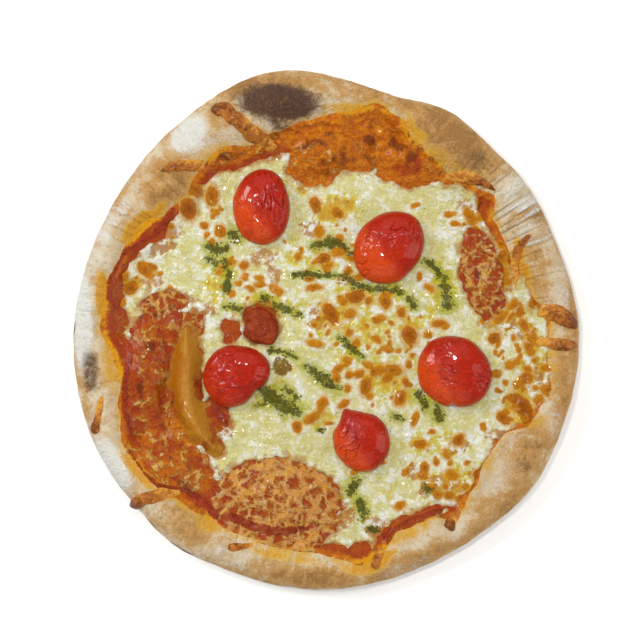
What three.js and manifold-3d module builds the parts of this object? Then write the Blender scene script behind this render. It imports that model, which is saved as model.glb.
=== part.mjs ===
// A small margherita pizza fresh from the oven, in millimetres, +Z up, resting on Z = 0, with the
// middle of its box at X = Y = 0. The dough is one disc with a puffed rim, blisters and folds.
// Tomato sauce, melted mozzarella, five halves of cherry tomato and a lump of cooked tomato lie on
// it in that order, and browned shreds of mozzarella lie over the rim. Each of them is a solid of
// its own, kept a film of air apart from what carries it.
import * as THREE from "three";
import { mergeVertices } from "three/addons/utils/BufferGeometryUtils.js";
import Module from "manifold-3d";

// Driving dimensions.
const MEAN_RADIUS = 127.8;
const DOUGH_FLOOR = 4.2; // thickness of the dough under the toppings
const EDGE_HEIGHT = 6.0; // where the rim reaches furthest out
const FOOT_INSET = 10.0; // from there in to where the underside meets the table
const CREST_PLACE = 0.42; // share of the bare rim's width from the sauce out to the crest
const RISE_LENGTH = 15.0; // how far inside the sauce's edge the dough starts to climb
const SAUCE_THICKNESS = 0.9;
const CHEESE_THICKNESS = 2.1;
const LAYER_EDGE = 0.45; // thickness of a layer at its very edge
const THIN_FROM = 0.93; // share of a layer's reach at which it starts to thin out
const DOME_TOP = 0.15; // share of a blister's reach that is flat on top
const AIR = 0.3; // film of air between two solids that touch
const MERGE_DISTANCE = 1e-4; // corners nearer than this are one

const SPOKES = 60;
const SPARSE_RINGS = 2; // the innermost rings have half as many spokes
const INNER_RINGS = [0.22, 0.42, 0.54, 0.62, 0.7, 0.78, 0.86, 0.93]; // shares of the cheese's edge
const RIM_RINGS = [0.2, 0.42, 0.64, 0.82, 0.94]; // shares of the bare rim's width
const UNDERSIDE_RINGS = [0.7, 0.3]; // shares of the foot's inset
const TOMATO_SPOKES = 20;
const TOMATO_RINGS = 4;
const SHRED_SIDES = 7;
const SHRED_STATIONS = 6;

// Where the outline swells out or draws in: [degrees, millimetres, half-width in degrees].
const OUTLINE_LOBES = [
  [103, 5.3, 15],
  [63, -9, 21],
  [61, 7.2, 11],
  [21, -4, 16],
  [155, -3.5, 25],
  [214, 2, 20],
  [235, 2.9, 9],
  [262, 2.5, 24],
  [323, 2.5, 11],
];

// Height of the rim's crest round the pizza: [degrees, millimetres].
const CREST_HEIGHTS = [
  [104, 19.5],
  [76, 14.5],
  [50, 17.5],
  [22, 15],
  [0, 13.5],
  [-32, 17.5],
  [-58, 15],
  [-80, 13.5],
  [-112, 16],
  [-140, 15],
  [-172, 14.5],
  [150, 16.5],
  [128, 16],
];

// The edge of the sauce round the pizza: [degrees, millimetres from the middle].
const SAUCE_EDGE = [
  [0, 115],
  [-20, 112],
  [-33, 103],
  [-43, 102],
  [-54, 109],
  [-72, 111],
  [-84, 114],
  [-108, 112],
  [-130, 110],
  [-150, 106],
  [-168, 105],
  [175, 110],
  [160, 108],
  [143, 101],
  [120, 107],
  [103, 105],
  [77, 112],
  [62, 104],
  [38, 101],
  [18, 107],
];

// The edge of the mozzarella round the pizza: [degrees, millimetres from the middle].
const CHEESE_EDGE = [
  [0, 111],
  [-20, 107],
  [-33, 98],
  [-46, 98],
  [-58, 100],
  [-74, 98],
  [-92, 106],
  [-120, 100],
  [-138, 102],
  [-160, 98],
  [172, 105],
  [160, 103],
  [146, 93],
  [124, 99],
  [103, 95],
  [80, 93],
  [64, 79],
  [46, 92],
  [26, 95],
  [12, 103],
];

// Blisters and folds of the dough: middle, half-length, half-width, turn in degrees and height.
const BLISTERS = [
  { x: 4, y: 92, long: 34, wide: 20, turn: 6, high: 8.5 }, // largest blister, at the back
  { x: 43, y: 84, long: 20, wide: 17, turn: -25, high: 7.5 }, // its neighbour
  { x: -27, y: -88, long: 36, wide: 31, turn: 8, high: 7.5 }, // round blister at the front
  { x: -71, y: -13, long: 26, wide: 13, turn: 85, high: 8 }, // fold at the left, its straight half
  { x: -64, y: -49, long: 24, wide: 12, turn: -52, high: 7.5 }, // the same fold, curving round
  { x: -90, y: -18, long: 30, wide: 12, turn: 92, high: 5 }, // mound outside the fold
  { x: -78, y: -67, long: 28, wide: 16, turn: -28, high: 6 }, // lump in front of the fold
  { x: 82, y: 27, long: 30, wide: 18, turn: 100, high: 5 }, // mound at the right
];

// The halves of cherry tomato, skin side up, and a lump of cooked tomato: middle, half-length,
// half-width, turn in degrees and height.
const TOMATOES = [
  { name: "tomato_half_1", x: -32.2, y: 62.4, long: 19, wide: 14.4, turn: 92, high: 10.5 },
  { name: "tomato_half_2", x: 32.4, y: 41.2, long: 19.8, wide: 16.2, turn: 48, high: 11 },
  { name: "tomato_half_3", x: 65.4, y: -20.6, long: 19.4, wide: 18.2, turn: -30, high: 11 },
  { name: "tomato_half_4", x: -44.6, y: -22.4, long: 17.2, wide: 15, turn: 20, high: 10.5 },
  { name: "tomato_half_5", x: 18.6, y: -55, long: 15.8, wide: 14.4, turn: 110, high: 10 },
  { name: "tomato_lump", x: -32.4, y: 2.2, long: 9.2, wide: 8.2, turn: 100, high: 3.4 },
];
const TOMATO_SINK = 1.2; // how deep each of them sits in the cheese
const TOMATO_FULLNESS = 0.85; // 1 is an ellipsoid, less is fuller
const SHRED_BLUNTNESS = 0.85; // 1 brings a shred's ends to a point, 0 leaves them square

// Browned shreds of cheese over the rim: both ends, and the half-width at each end.
const SHREDS = [
  { from: [-45, 101], to: [-56, 109.5], radii: [2.6, 2.9] },
  { from: [-67, 81.5], to: [-81, 79.5], radii: [2.0, 1.1] },
  { from: [68, 76], to: [83, 70], radii: [2.2, 1.1] },
  { from: [94.5, 41], to: [100.5, 46.5], radii: [1.5, 1.3] },
  { from: [110, 7.5], to: [122.5, 2.5], radii: [3.0, 1.9] },
  { from: [109, -6.3], to: [124.5, -7], radii: [2.1, 1.4] },
  { from: [-111.5, -33], to: [-115.5, -50], radii: [1.6, 2.4] },
  { from: [-84, -82], to: [-97.5, -87.5], radii: [2.4, 2.3] },
  { from: [60, -93], to: [60.5, -99.5], radii: [2.4, 2.7] },
  { from: [24.5, -113.5], to: [22.8, -118.5], radii: [2.0, 1.7] },
  { from: [-40, -107.5], to: [-48.5, -107.8], radii: [1.4, 1.9] },
];

const radians = THREE.MathUtils.degToRad;
const { clamp, lerp, smoothstep } = THREE.MathUtils;

// The shortest way round from one angle to another, in degrees.
function turnBetween(a, b) {
  return ((((a - b + 180) % 360) + 360) % 360) - 180;
}

// A function of the angle that passes smoothly through the given [degrees, value] pairs.
function around(pairs) {
  const knots = [...pairs].sort((a, b) => a[0] - b[0]);
  return (angle) => {
    const degrees = THREE.MathUtils.radToDeg(angle);
    let last = knots.length - 1;
    knots.forEach(([at], i) => {
      if (at <= degrees) last = i;
    });
    const [from, a] = knots[last];
    const [to, b] = knots[(last + 1) % knots.length];
    const span = (to - from + 360) % 360;
    const share = ((degrees - from + 720) % 360) / span;
    return lerp(a, b, smoothstep(share, 0, 1));
  };
}

const crestHeight = around(CREST_HEIGHTS);
const sauceEdge = around(SAUCE_EDGE);
const cheeseEdge = around(CHEESE_EDGE);

function outline(angle) {
  const degrees = THREE.MathUtils.radToDeg(angle);
  return OUTLINE_LOBES.reduce(
    (radius, [at, out, width]) =>
      radius + out * Math.exp(-((turnBetween(degrees, at) / width) ** 2)),
    MEAN_RADIUS,
  );
}

// Height that the blisters add at a place: each is a dome with a soft foot.
function blisterHeight(x, y) {
  return BLISTERS.reduce((height, b) => {
    const turn = radians(b.turn);
    const dx = x - b.x;
    const dy = y - b.y;
    const along = (dx * Math.cos(turn) + dy * Math.sin(turn)) / b.long;
    const across = (dy * Math.cos(turn) - dx * Math.sin(turn)) / b.wide;
    return height + b.high * (1 - smoothstep(Math.hypot(along, across), DOME_TOP, 1));
  }, 0);
}

// Top of the dough: a floor, a slope up to the crest, and a round fall to the outer edge.
function doughTop(radius, angle) {
  const edge = outline(angle);
  const sauce = sauceEdge(angle);
  const crest = sauce + CREST_PLACE * (edge - sauce);
  const high = crestHeight(angle);
  if (radius > crest) {
    const out = clamp((radius - crest) / (edge - crest), 0, 1);
    return EDGE_HEIGHT + (high - EDGE_HEIGHT) * Math.sqrt(1 - out * out);
  }
  const rise = smoothstep(radius, sauce - RISE_LENGTH, crest);
  const blister = blisterHeight(radius * Math.cos(angle), radius * Math.sin(angle));
  return lerp(DOUGH_FLOOR, high, rise) + blister * (1 - rise);
}

// Underside of the dough: flat on the table, curling up to the outer edge.
function doughUnderside(radius, angle) {
  const inset = clamp((radius - outline(angle) + FOOT_INSET) / FOOT_INSET, 0, 1);
  return EDGE_HEIGHT * (1 - Math.sqrt(1 - inset * inset));
}

// A layer's top, lower where it thins out over the last stretch to its edge.
function layerTop(below, thickness, edge, radius, angle) {
  const thin = smoothstep(radius, THIN_FROM * edge(angle), edge(angle));
  return below(radius, angle) + AIR + lerp(thickness, LAYER_EDGE, thin);
}

const sauceTop = (radius, angle) =>
  layerTop(doughTop, SAUCE_THICKNESS, sauceEdge, radius, angle);
const cheeseTop = (radius, angle) =>
  layerTop(sauceTop, CHEESE_THICKNESS, cheeseEdge, radius, angle);

// Rings out from the middle, each a radius as a function of the angle. All layers share them, so
// that one layer's top and the next one's bottom are parallel everywhere.
const innerRings = INNER_RINGS.map((share, i) => ({
  radius: (angle) => share * cheeseEdge(angle),
  spokes: i < SPARSE_RINGS ? SPOKES / 2 : SPOKES,
}));
const fullRing = (radius) => ({ radius, spokes: SPOKES });
const cheeseRings = [...innerRings, fullRing(cheeseEdge)];
const sauceRings = [...cheeseRings, fullRing(sauceEdge)];
const rimRings = RIM_RINGS.map((share) =>
  fullRing((angle) => lerp(sauceEdge(angle), outline(angle), share)),
);
const footRings = [...UNDERSIDE_RINGS, 0].map((share) =>
  fullRing((angle) => outline(angle) - (1 - share) * FOOT_INSET),
);
const atHeight = (rings, height) => rings.map((ring) => ({ ...ring, height }));

// A closed solid made of rings from the middle of the top, over the edge, to the middle of the
// bottom. Each ring has a radius and a height, both functions of the angle, and its own spokes.
function ringSolid(rings, topMiddle, bottomMiddle) {
  const points = [[0, 0, topMiddle]];
  const starts = rings.map(({ radius, height, spokes }) => {
    const start = points.length;
    for (let i = 0; i < spokes; i++) {
      const angle = -Math.PI + (2 * Math.PI * i) / spokes;
      const out = radius(angle);
      points.push([out * Math.cos(angle), out * Math.sin(angle), height(out, angle)]);
    }
    return start;
  });
  points.push([0, 0, bottomMiddle]);
  const faces = [];
  const at = (ring, i) => starts[ring] + (i % rings[ring].spokes);
  const last = rings.length - 1;
  for (let i = 0; i < rings[0].spokes; i++) faces.push(0, at(0, i), at(0, i + 1));
  for (let ring = 1; ring <= last; ring++) {
    // Above and below, the triangles divide the same strip the same way: only their sense differs.
    const outward = rings[ring].radius(0) > rings[ring - 1].radius(0);
    const [inner, outer] = outward ? [ring - 1, ring] : [ring, ring - 1];
    const push = (a, b, c) => (outward ? faces.push(a, b, c) : faces.push(a, c, b));
    const ratio = rings[outer].spokes / rings[inner].spokes;
    for (let i = 0; i < rings[inner].spokes; i++) {
      for (let k = 0; k < ratio; k++) {
        push(at(inner, i), at(outer, ratio * i + k), at(outer, ratio * i + k + 1));
      }
      push(at(inner, i), at(outer, ratio * (i + 1)), at(inner, i + 1));
    }
  }
  for (let i = 0; i < rings[last].spokes; i++) {
    faces.push(points.length - 1, at(last, i + 1), at(last, i));
  }
  return new THREE.BufferGeometry()
    .setAttribute("position", new THREE.Float32BufferAttribute(points.flat(), 3))
    .setIndex(faces);
}

function doughGeometry() {
  return ringSolid(
    [
      ...atHeight([...sauceRings, ...rimRings], doughTop),
      ...atHeight([fullRing(outline)], () => EDGE_HEIGHT),
      ...atHeight(footRings, doughUnderside),
    ],
    doughTop(0, 0),
    0,
  );
}

// A layer spread between two surfaces over the same rings.
function layerGeometry(rings, top, below) {
  const bottom = (radius, angle) => below(radius, angle) + AIR;
  return ringSolid(
    [...atHeight(rings, top), ...atHeight(rings.toReversed(), bottom)],
    top(0, 0),
    bottom(0, 0),
  );
}

// Half a cherry tomato, cut side down: a full dome with an oval outline.
function tomatoGeometry({ long, wide, high }) {
  const rings = [];
  for (let i = 1; i <= TOMATO_RINGS; i++) {
    const slope = (Math.PI / 2) * (i / TOMATO_RINGS);
    const share = Math.sin(slope) ** TOMATO_FULLNESS;
    const height = i === TOMATO_RINGS ? 0 : high * Math.cos(slope) ** TOMATO_FULLNESS;
    rings.push({
      radius: (angle) => share / Math.hypot(Math.cos(angle) / long, Math.sin(angle) / wide),
      height: () => height,
      spokes: TOMATO_SPOKES,
    });
  }
  return ringSolid(rings, high, 0);
}

// Height of whatever lies on top at a place.
function surfaceAt(x, y) {
  const radius = Math.hypot(x, y);
  const angle = Math.atan2(y, x);
  if (radius < cheeseEdge(angle)) return cheeseTop(radius, angle);
  if (radius < sauceEdge(angle)) return sauceTop(radius, angle);
  return doughTop(Math.min(radius, outline(angle)), angle);
}

// A shred of cheese: a round body along a path that follows the surface, with blunt ends.
function shredGeometry({ from, to, radii }) {
  const last = SHRED_STATIONS - 1;
  const side = new THREE.Vector3(from[1] - to[1], to[0] - from[0], 0).normalize();
  const middles = [];
  const around = [];
  for (let i = 0; i <= last; i++) {
    const share = i / last;
    const x = lerp(from[0], to[0], share);
    const y = lerp(from[1], to[1], share);
    const middle = new THREE.Vector3(x, y, surfaceAt(x, y) + AIR);
    const blunt = Math.sqrt(1 - SHRED_BLUNTNESS * (2 * share - 1) ** 4);
    const radius = lerp(...radii, share) * blunt;
    middles.push(middle);
    for (let k = 0; k < SHRED_SIDES; k++) {
      const angle = (2 * Math.PI * k) / SHRED_SIDES;
      const point = middle.clone().addScaledVector(side, radius * Math.cos(angle));
      around.push(point.setZ(middle.z + radius * Math.sin(angle)));
    }
  }
  const points = [middles[0], ...around, middles[last]];
  const faces = [];
  const at = (station, k) => 1 + station * SHRED_SIDES + (k % SHRED_SIDES);
  for (let k = 0; k < SHRED_SIDES; k++) {
    faces.push(0, at(0, k + 1), at(0, k));
    for (let i = 0; i < last; i++) {
      faces.push(at(i, k), at(i + 1, k + 1), at(i + 1, k));
      faces.push(at(i, k), at(i, k + 1), at(i + 1, k + 1));
    }
    faces.push(points.length - 1, at(last, k), at(last, k + 1));
  }
  return new THREE.BufferGeometry().setFromPoints(points).setIndex(faces);
}

const wasm = await Module();
wasm.setup();

function solidOf(geometry) {
  const bare = geometry.clone();
  bare.deleteAttribute("normal");
  bare.deleteAttribute("uv");
  const merged = mergeVertices(bare, MERGE_DISTANCE);
  return new wasm.Manifold(
    new wasm.Mesh({
      numProp: 3,
      vertProperties: new Float32Array(merged.attributes.position.array),
      triVerts: new Uint32Array(merged.index.array),
    }),
  );
}

function geometryOf(solid) {
  const { vertProperties, triVerts } = solid.getMesh();
  return new THREE.BufferGeometry()
    .setAttribute("position", new THREE.Float32BufferAttribute(vertProperties, 3))
    .setIndex([...triVerts]);
}

// The solid grown by the film of air along each axis in turn, to cut a neighbour with.
function withAir(solid) {
  const steps = [
    [AIR, 0, 0],
    [0, AIR, 0],
    [0, 0, AIR],
  ];
  return steps.reduce(
    (grown, step) => grown.add(grown.translate(step)).add(grown.translate(step.map((v) => -v))),
    solid,
  );
}

// The largest single piece of a solid, without crumbs that a cut leaves behind.
function largest(solid) {
  return solid.decompose().reduce((a, b) => (b.volume() > a.volume() ? b : a));
}

function material(color, roughness) {
  return new THREE.MeshStandardMaterial({ color, roughness, metalness: 0 });
}

const CRUST = material("#c9a877", 0.85);
const SAUCE = material("#b5421c", 0.45);
const CHEESE = material("#e3dca4", 0.4);
const TOMATO = material("#b8260f", 0.25);
const BROWNED_CHEESE = material("#a5602a", 0.5);

const pizza = new THREE.Group();

function add(name, geometry, finish) {
  const mesh = new THREE.Mesh(geometry, finish);
  mesh.name = name;
  pizza.add(mesh);
}

const crust = doughGeometry();
const sauce = layerGeometry(sauceRings, sauceTop, doughTop);
add("crust", crust, CRUST);
add("tomato_sauce", sauce, SAUCE);
const crustWithAir = withAir(solidOf(crust));
const sauceWithAir = withAir(solidOf(sauce));

// Where a piece of tomato rests: its flat face lies along the slope of the cheese under it, a little
// sunk in.
function restingPlace({ x, y, long, wide, turn }) {
  const angle = radians(turn);
  const cheeseAt = (along, across) => {
    const px = x + along * Math.cos(angle) - across * Math.sin(angle);
    const py = y + along * Math.sin(angle) + across * Math.cos(angle);
    return cheeseTop(Math.hypot(px, py), Math.atan2(py, px));
  };
  const ends = [cheeseAt(-long, 0), cheeseAt(long, 0)];
  const sides = [cheeseAt(0, -wide), cheeseAt(0, wide)];
  const slopeAlong = (ends[1] - ends[0]) / (2 * long);
  const slopeAcross = (sides[1] - sides[0]) / (2 * wide);
  const seat = (ends[0] + ends[1] + sides[0] + sides[1]) / 4 - TOMATO_SINK;
  const forward = new THREE.Vector3(1, 0, slopeAlong).normalize();
  const up = new THREE.Vector3(-slopeAlong, -slopeAcross, 1).normalize();
  const sideways = new THREE.Vector3().crossVectors(up, forward);
  return new THREE.Matrix4()
    .makeTranslation(x, y, seat)
    .multiply(new THREE.Matrix4().makeRotationZ(angle))
    .multiply(new THREE.Matrix4().makeBasis(forward, sideways, up));
}

let cheese = solidOf(layerGeometry(cheeseRings, cheeseTop, sauceTop));
for (const tomato of TOMATOES) {
  const place = restingPlace(tomato);
  const body = solidOf(tomatoGeometry(tomato).applyMatrix4(place)).subtract(sauceWithAir);
  add(tomato.name, geometryOf(largest(body)), TOMATO);
  const hollow = tomatoGeometry({
    long: tomato.long + AIR,
    wide: tomato.wide + AIR,
    high: tomato.high + AIR,
  }).applyMatrix4(place);
  cheese = cheese.subtract(solidOf(hollow).translate([0, 0, -AIR]));
}
cheese = largest(cheese);
add("mozzarella", geometryOf(cheese), CHEESE);

const carriers = [crustWithAir, sauceWithAir, withAir(cheese)];
SHREDS.forEach((shred, i) => {
  const whole = solidOf(shredGeometry(shred));
  const body = carriers.reduce((left, carrier) => left.subtract(carrier), whole);
  add(`browned_shred_${i + 1}`, geometryOf(largest(body)), BROWNED_CHEESE);
});

const box = new THREE.Box3().setFromObject(pizza, true);
const middle = box.getCenter(new THREE.Vector3());
pizza.position.set(-middle.x, -middle.y, -box.min.z);

export default pizza;
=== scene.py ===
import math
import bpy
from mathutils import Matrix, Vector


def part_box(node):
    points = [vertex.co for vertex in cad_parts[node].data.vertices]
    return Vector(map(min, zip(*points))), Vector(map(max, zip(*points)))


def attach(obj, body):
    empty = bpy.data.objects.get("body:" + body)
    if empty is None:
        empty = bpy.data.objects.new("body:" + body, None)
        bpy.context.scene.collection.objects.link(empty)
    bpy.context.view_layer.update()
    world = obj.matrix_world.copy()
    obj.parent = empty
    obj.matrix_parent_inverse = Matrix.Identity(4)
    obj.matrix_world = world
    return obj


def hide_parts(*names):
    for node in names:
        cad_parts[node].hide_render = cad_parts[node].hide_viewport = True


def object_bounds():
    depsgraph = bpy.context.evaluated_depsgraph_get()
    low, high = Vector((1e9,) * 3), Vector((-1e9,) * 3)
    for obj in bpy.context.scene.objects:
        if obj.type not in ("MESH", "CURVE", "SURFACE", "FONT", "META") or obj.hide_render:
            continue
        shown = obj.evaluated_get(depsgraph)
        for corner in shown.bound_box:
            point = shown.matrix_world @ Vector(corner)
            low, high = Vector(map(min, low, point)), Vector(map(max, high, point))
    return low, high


bl_info = {
    "name": "Margherita pizza",
    "version": (1, 0, 0),
    "blender": (4, 5, 0),
    "location": "View3D > Sidebar > Pizza",
    "description": "Makes a small baked margherita pizza, piece by piece, round its packed frame",
    "category": "Object",
}

import bpy
import numpy as np
from mathutils import Vector

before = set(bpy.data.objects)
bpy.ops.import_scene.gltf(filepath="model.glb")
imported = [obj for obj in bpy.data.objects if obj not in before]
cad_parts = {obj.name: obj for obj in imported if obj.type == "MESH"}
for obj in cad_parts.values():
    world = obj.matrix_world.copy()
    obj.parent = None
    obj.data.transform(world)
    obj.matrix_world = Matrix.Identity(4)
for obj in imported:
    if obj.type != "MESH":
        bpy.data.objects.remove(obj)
CAD_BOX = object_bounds()
BODY = "root"
MM = 0.001

# Every length below is in millimetres, measured from the middle of the pizza, with +Y towards the
# side with the largest scorched patch. Angles are in degrees, counted from +X towards +Y.

# The dough.
MEAN_RADIUS = 127.8
DOUGH_FLOOR = 4.2
EDGE_HEIGHT = 6.0
FOOT_INSET = 10.0
CREST_PLACE = 0.42
RISE_LENGTH = 14.0
OUTLINE_LOBES = [
    (103, 5.3, 15), (63, -9, 21), (61, 7.2, 11), (21, -4, 16), (155, -3.5, 25), (214, 2, 20),
    (235, 2.9, 9), (262, 2.5, 24), (323, 2.5, 11),
]
CREST_HEIGHTS = [
    (104, 19), (76, 14.5), (50, 17), (22, 15), (0, 13.5), (-32, 17), (-58, 15), (-80, 13.5), (-112, 16),
    (-140, 15), (-172, 14.5), (150, 16), (128, 15.5),
]
TOPPING_EDGE = [
    (180, 113), (170, 113), (160, 110), (150, 107), (144, 100), (136, 98), (130, 102), (121, 106),
    (111, 101), (104, 103), (95, 106), (86, 110), (77, 116), (71, 113), (65, 106), (60, 103), (50, 100),
    (44, 104), (39, 108), (33, 101), (20, 100), (10, 105), (4, 113), (-5, 112), (-15, 116), (-24, 113),
    (-31, 103), (-40, 104), (-48, 110), (-55, 114), (-62, 108), (-70, 107), (-76, 115), (-81, 119),
    (-87, 115), (-93, 112), (-110, 111), (-125, 112), (-140, 116), (-150, 117), (-160, 111), (-167, 106),
    (-175, 109),
]
CHEESE_EDGE = [
    (180, 102), (171, 104), (164, 106), (158, 102), (150, 94), (143, 95), (136, 98), (128, 97),
    (118, 93), (108, 92), (95, 90), (80, 92), (60, 94), (50, 98), (42, 101), (35, 96), (25, 98),
    (10, 104), (2, 110), (-6, 111), (-15, 115), (-22, 112), (-31, 102), (-40, 103), (-50, 108),
    (-58, 109), (-64, 104), (-72, 104), (-80, 113), (-88, 107), (-105, 104), (-125, 94), (-140, 98),
    (-155, 96), (-170, 92),
]

# Domes and hollows of the dough: x, y, half-length, half-width, turn, height.
SWELLINGS = [
    (3, 93, 31, 17, 5, 7), (-7, 84, 15, 13, 0, 3.5), (43, 85, 19, 15, -25, 6.5),
    (25, 88, 4, 9, 10, -2.5), (-25, -88, 34, 28, -5, 7.5), (-90, -20, 31, 13, 92, 6.5),
    (-79, -68, 22, 14, -30, 6.5), (81, 27, 27, 15, 103, 4.5), (56, -79, 16, 11, 10, 2.5),
    (-86, 46, 18, 10, 40, 3), (30, -116, 30, 7, 16, 2.5),
]
# The fold at the left, and creases pressed into the dough: points, half-widths and, for a crease,
# its depth.
FOLD = ([(-70, 1), (-70, -12), (-71.5, -26), (-69.5, -39), (-64, -50), (-55, -60)], [5, 8, 9, 8.5, 7.5, 4])
FOLD_HEIGHT = 7.0
CREASES = [
    ([(-83, -30), (-80, -43), (-72, -55), (-60, -64)], [0.4, 0.6, 0.6, 0.3], 3.0),
    ([(-95, -52), (-86, -50.5), (-78, -52), (-69, -58)], [0.8, 1.2, 1.2, 0.7], 2.4),
    ([(26, 96), (23, 88), (27, 80)], [0.8, 1.3, 0.6], 2.2),
    ([(-9, 76), (4, 79), (16, 80)], [0.8, 1, 0.6], 1.2),
    ([(-32, 95), (-16, 99), (0, 101.5), (12, 99)], [0.5, 0.8, 0.8, 0.5], 1.8),
    ([(30, 105), (35, 98), (44, 92), (54, 85), (60, 77)], [0.5, 0.8, 0.8, 0.8, 0.5], 1.6),
    ([(33, 78), (38, 90), (34, 98)], [0.5, 0.8, 0.5], 1.2),
    ([(100, 15), (98, 30), (96, 42)], [0.8, 1, 0.6], 1.2),
    ([(112, -37), (106, -45), (97, -52), (86, -54)], [0.8, 1.2, 1.2, 0.8], 2.0),
    ([(82, -59), (79, -70), (72, -84)], [0.8, 1, 0.8], 1.4),
]

# The toppings lie within TOPPING_REACH of the middle along X and Y, the pepper within PEPPER_REACH
# of it all round, and the cheese lies CHEESE_SINK deep in the sauce.
TOPPING_REACH = 118
PEPPER_REACH = 108
CHEESE_SINK = 0.35

# Places with no sheet of cheese: x, y, half-length, half-width, turn, how baked and orange the film
# of sauce is there, and how much thin cheese veils it.
BARE_PLACES = [
    (-6, 83, 13, 11, 0, 0.9, 0.28), (14, 96, 30, 16, -2, 1.0, 0.02), (42, 85, 18, 12.5, -5, 1.0, 0.02),
    (62, 79, 13, 5.5, -20, 0.8, 0.3), (-15, 98, 17, 7, -20, 1.0, 0.02),
    (-49, 90, 14, 6.5, 12, 0.8, 0.35), (-87, -23, 31, 15, 92, 0.3, 0.26),
    (-77, -66, 21, 13.5, -32, 0.5, 0.36), (-70, -50, 10, 7, -50, 0.7, 0.2),
    (-57, -43, 9, 9, 0, 0.25, 0.35), (-70, 3, 9, 7, 0, 0.2, 0.6), (-78, -10, 7, 14, 0, 0.3, 0.2),
    (-82, 14, 11, 6, 10, 0.2, 0.55), (-84, 2, 12, 9, 20, 0.2, 0.15), (-47.5, 0.5, 6, 4.5, 70, 0.1, 0),
    (-33, 3, 10, 9, 100, 0.1, 0), (-24, -88, 32, 24, -5, 0.42, 0.66),
    (78.5, 27.5, 23.5, 9.5, 103, 0.25, 0.5), (38, -98, 13, 4, 28, 0.2, 0.05),
    (53, -90, 8, 2.5, 18, 0.3, 0.1), (17, -111, 7.5, 4.5, 15, 0.1, 0), (-66, -83, 7, 4, 30, 0.2, 0.3),
    (-40, 92, 8, 4, -10, 0.7, 0.3), (-104, 5, 4, 7, 0, 0.2, 0.1),
]
# Places where the sheet of cheese is so thin that the sauce stains it.
THIN_PLACES = [
    (-31, 37, 9, 6, 10), (-26, 28, 5, 6, 0), (-8, 51, 7, 5, 0), (-5, 7, 6, 9, 0), (-81, 44, 14, 7, 40),
    (-76, 13, 15, 8, 0), (-62, 10, 9, 6, 0), (44, -71, 5, 5, 0), (67, -58, 7, 5, 20),
    (58, -79, 15, 8, 5), (-52, -49, 8, 8, 0), (24, -99, 9, 7, 0), (96, 2, 9, 8, 0), (-57, -74, 9, 5, 20),
    (104, -22, 6, 12, 0), (72, 60, 12, 6, -50), (90, 30, 6, 14, 10), (-24, 90, 7, 5, 0),
    (9, 26, 6, 4, 0), (-88, 26, 8, 6, 0), (84, -52, 7, 4, 0), (10, -92, 6, 9, 0),
]
# Where yellow oil lies on the cheese: x, y, half-length, half-width, turn, strength.
OIL_POOLS = [
    (5, 61, 10, 8, 0, 1.0), (28, -25, 17, 12, 0, 0.62), (22, 6, 34, 18, 0, 0.6),
    (97, -38, 8, 10, 0, 0.9), (-53, 29, 9, 14, 0, 0.7), (-27, 13, 13, 6, -10, 0.8),
    (58, 22, 7, 14, 10, 0.7), (12, -12, 12, 8, -45, 0.6), (42, -30, 15, 10, 0, 0.5),
    (103, -12, 8, 18, 0, 0.6), (-62, 65, 10, 10, 0, 0.4), (-2, 38, 18, 8, 0, 0.6),
    (-98, 24, 8, 6, 0, 0.6), (56, -58, 16, 8, 0, 0.6), (64, -74, 16, 8, 0, 0.6),
    (-24, -34, 14, 9, -35, 0.5), (90, 8, 16, 12, 0, 0.5), (-2, -44, 10, 5, 30, 0.6),
    (-15, 72, 14, 6, 0, 0.4), (34, -84, 10, 8, 0, 0.3),
]
# Where wet, dark red sauce shows as a line: points and half-widths.
SAUCE_LINES = [
    ([(-76, 61), (-80, 54), (-86, 48), (-94, 43), (-102, 38), (-107, 28), (-108.5, 16), (-104, 10)],
     [1, 2, 1.4, 0.5, 1.4, 1.6, 1.2, 0.8]),
    ([(-98.5, 2), (-98.5, -15), (-100.5, -28), (-100.5, -40), (-98, -50)], [0.8, 1.2, 1.6, 1.4, 0.8]),
    ([(-98, -60), (-91, -70), (-83.5, -78), (-72, -79), (-62, -85), (-55, -92)],
     [0.5, 0.8, 1.4, 1.2, 1.6, 1.8]),
    ([(-47, -93), (-38, -97), (-26, -100), (-12, -99)], [2, 2.2, 2, 1.6]),
    ([(31, -103), (44, -95), (58, -89.5)], [3, 2, 1]),
    ([(-52, -33), (-56, -41), (-50, -46)], [2, 2.4, 2]),
]
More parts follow.
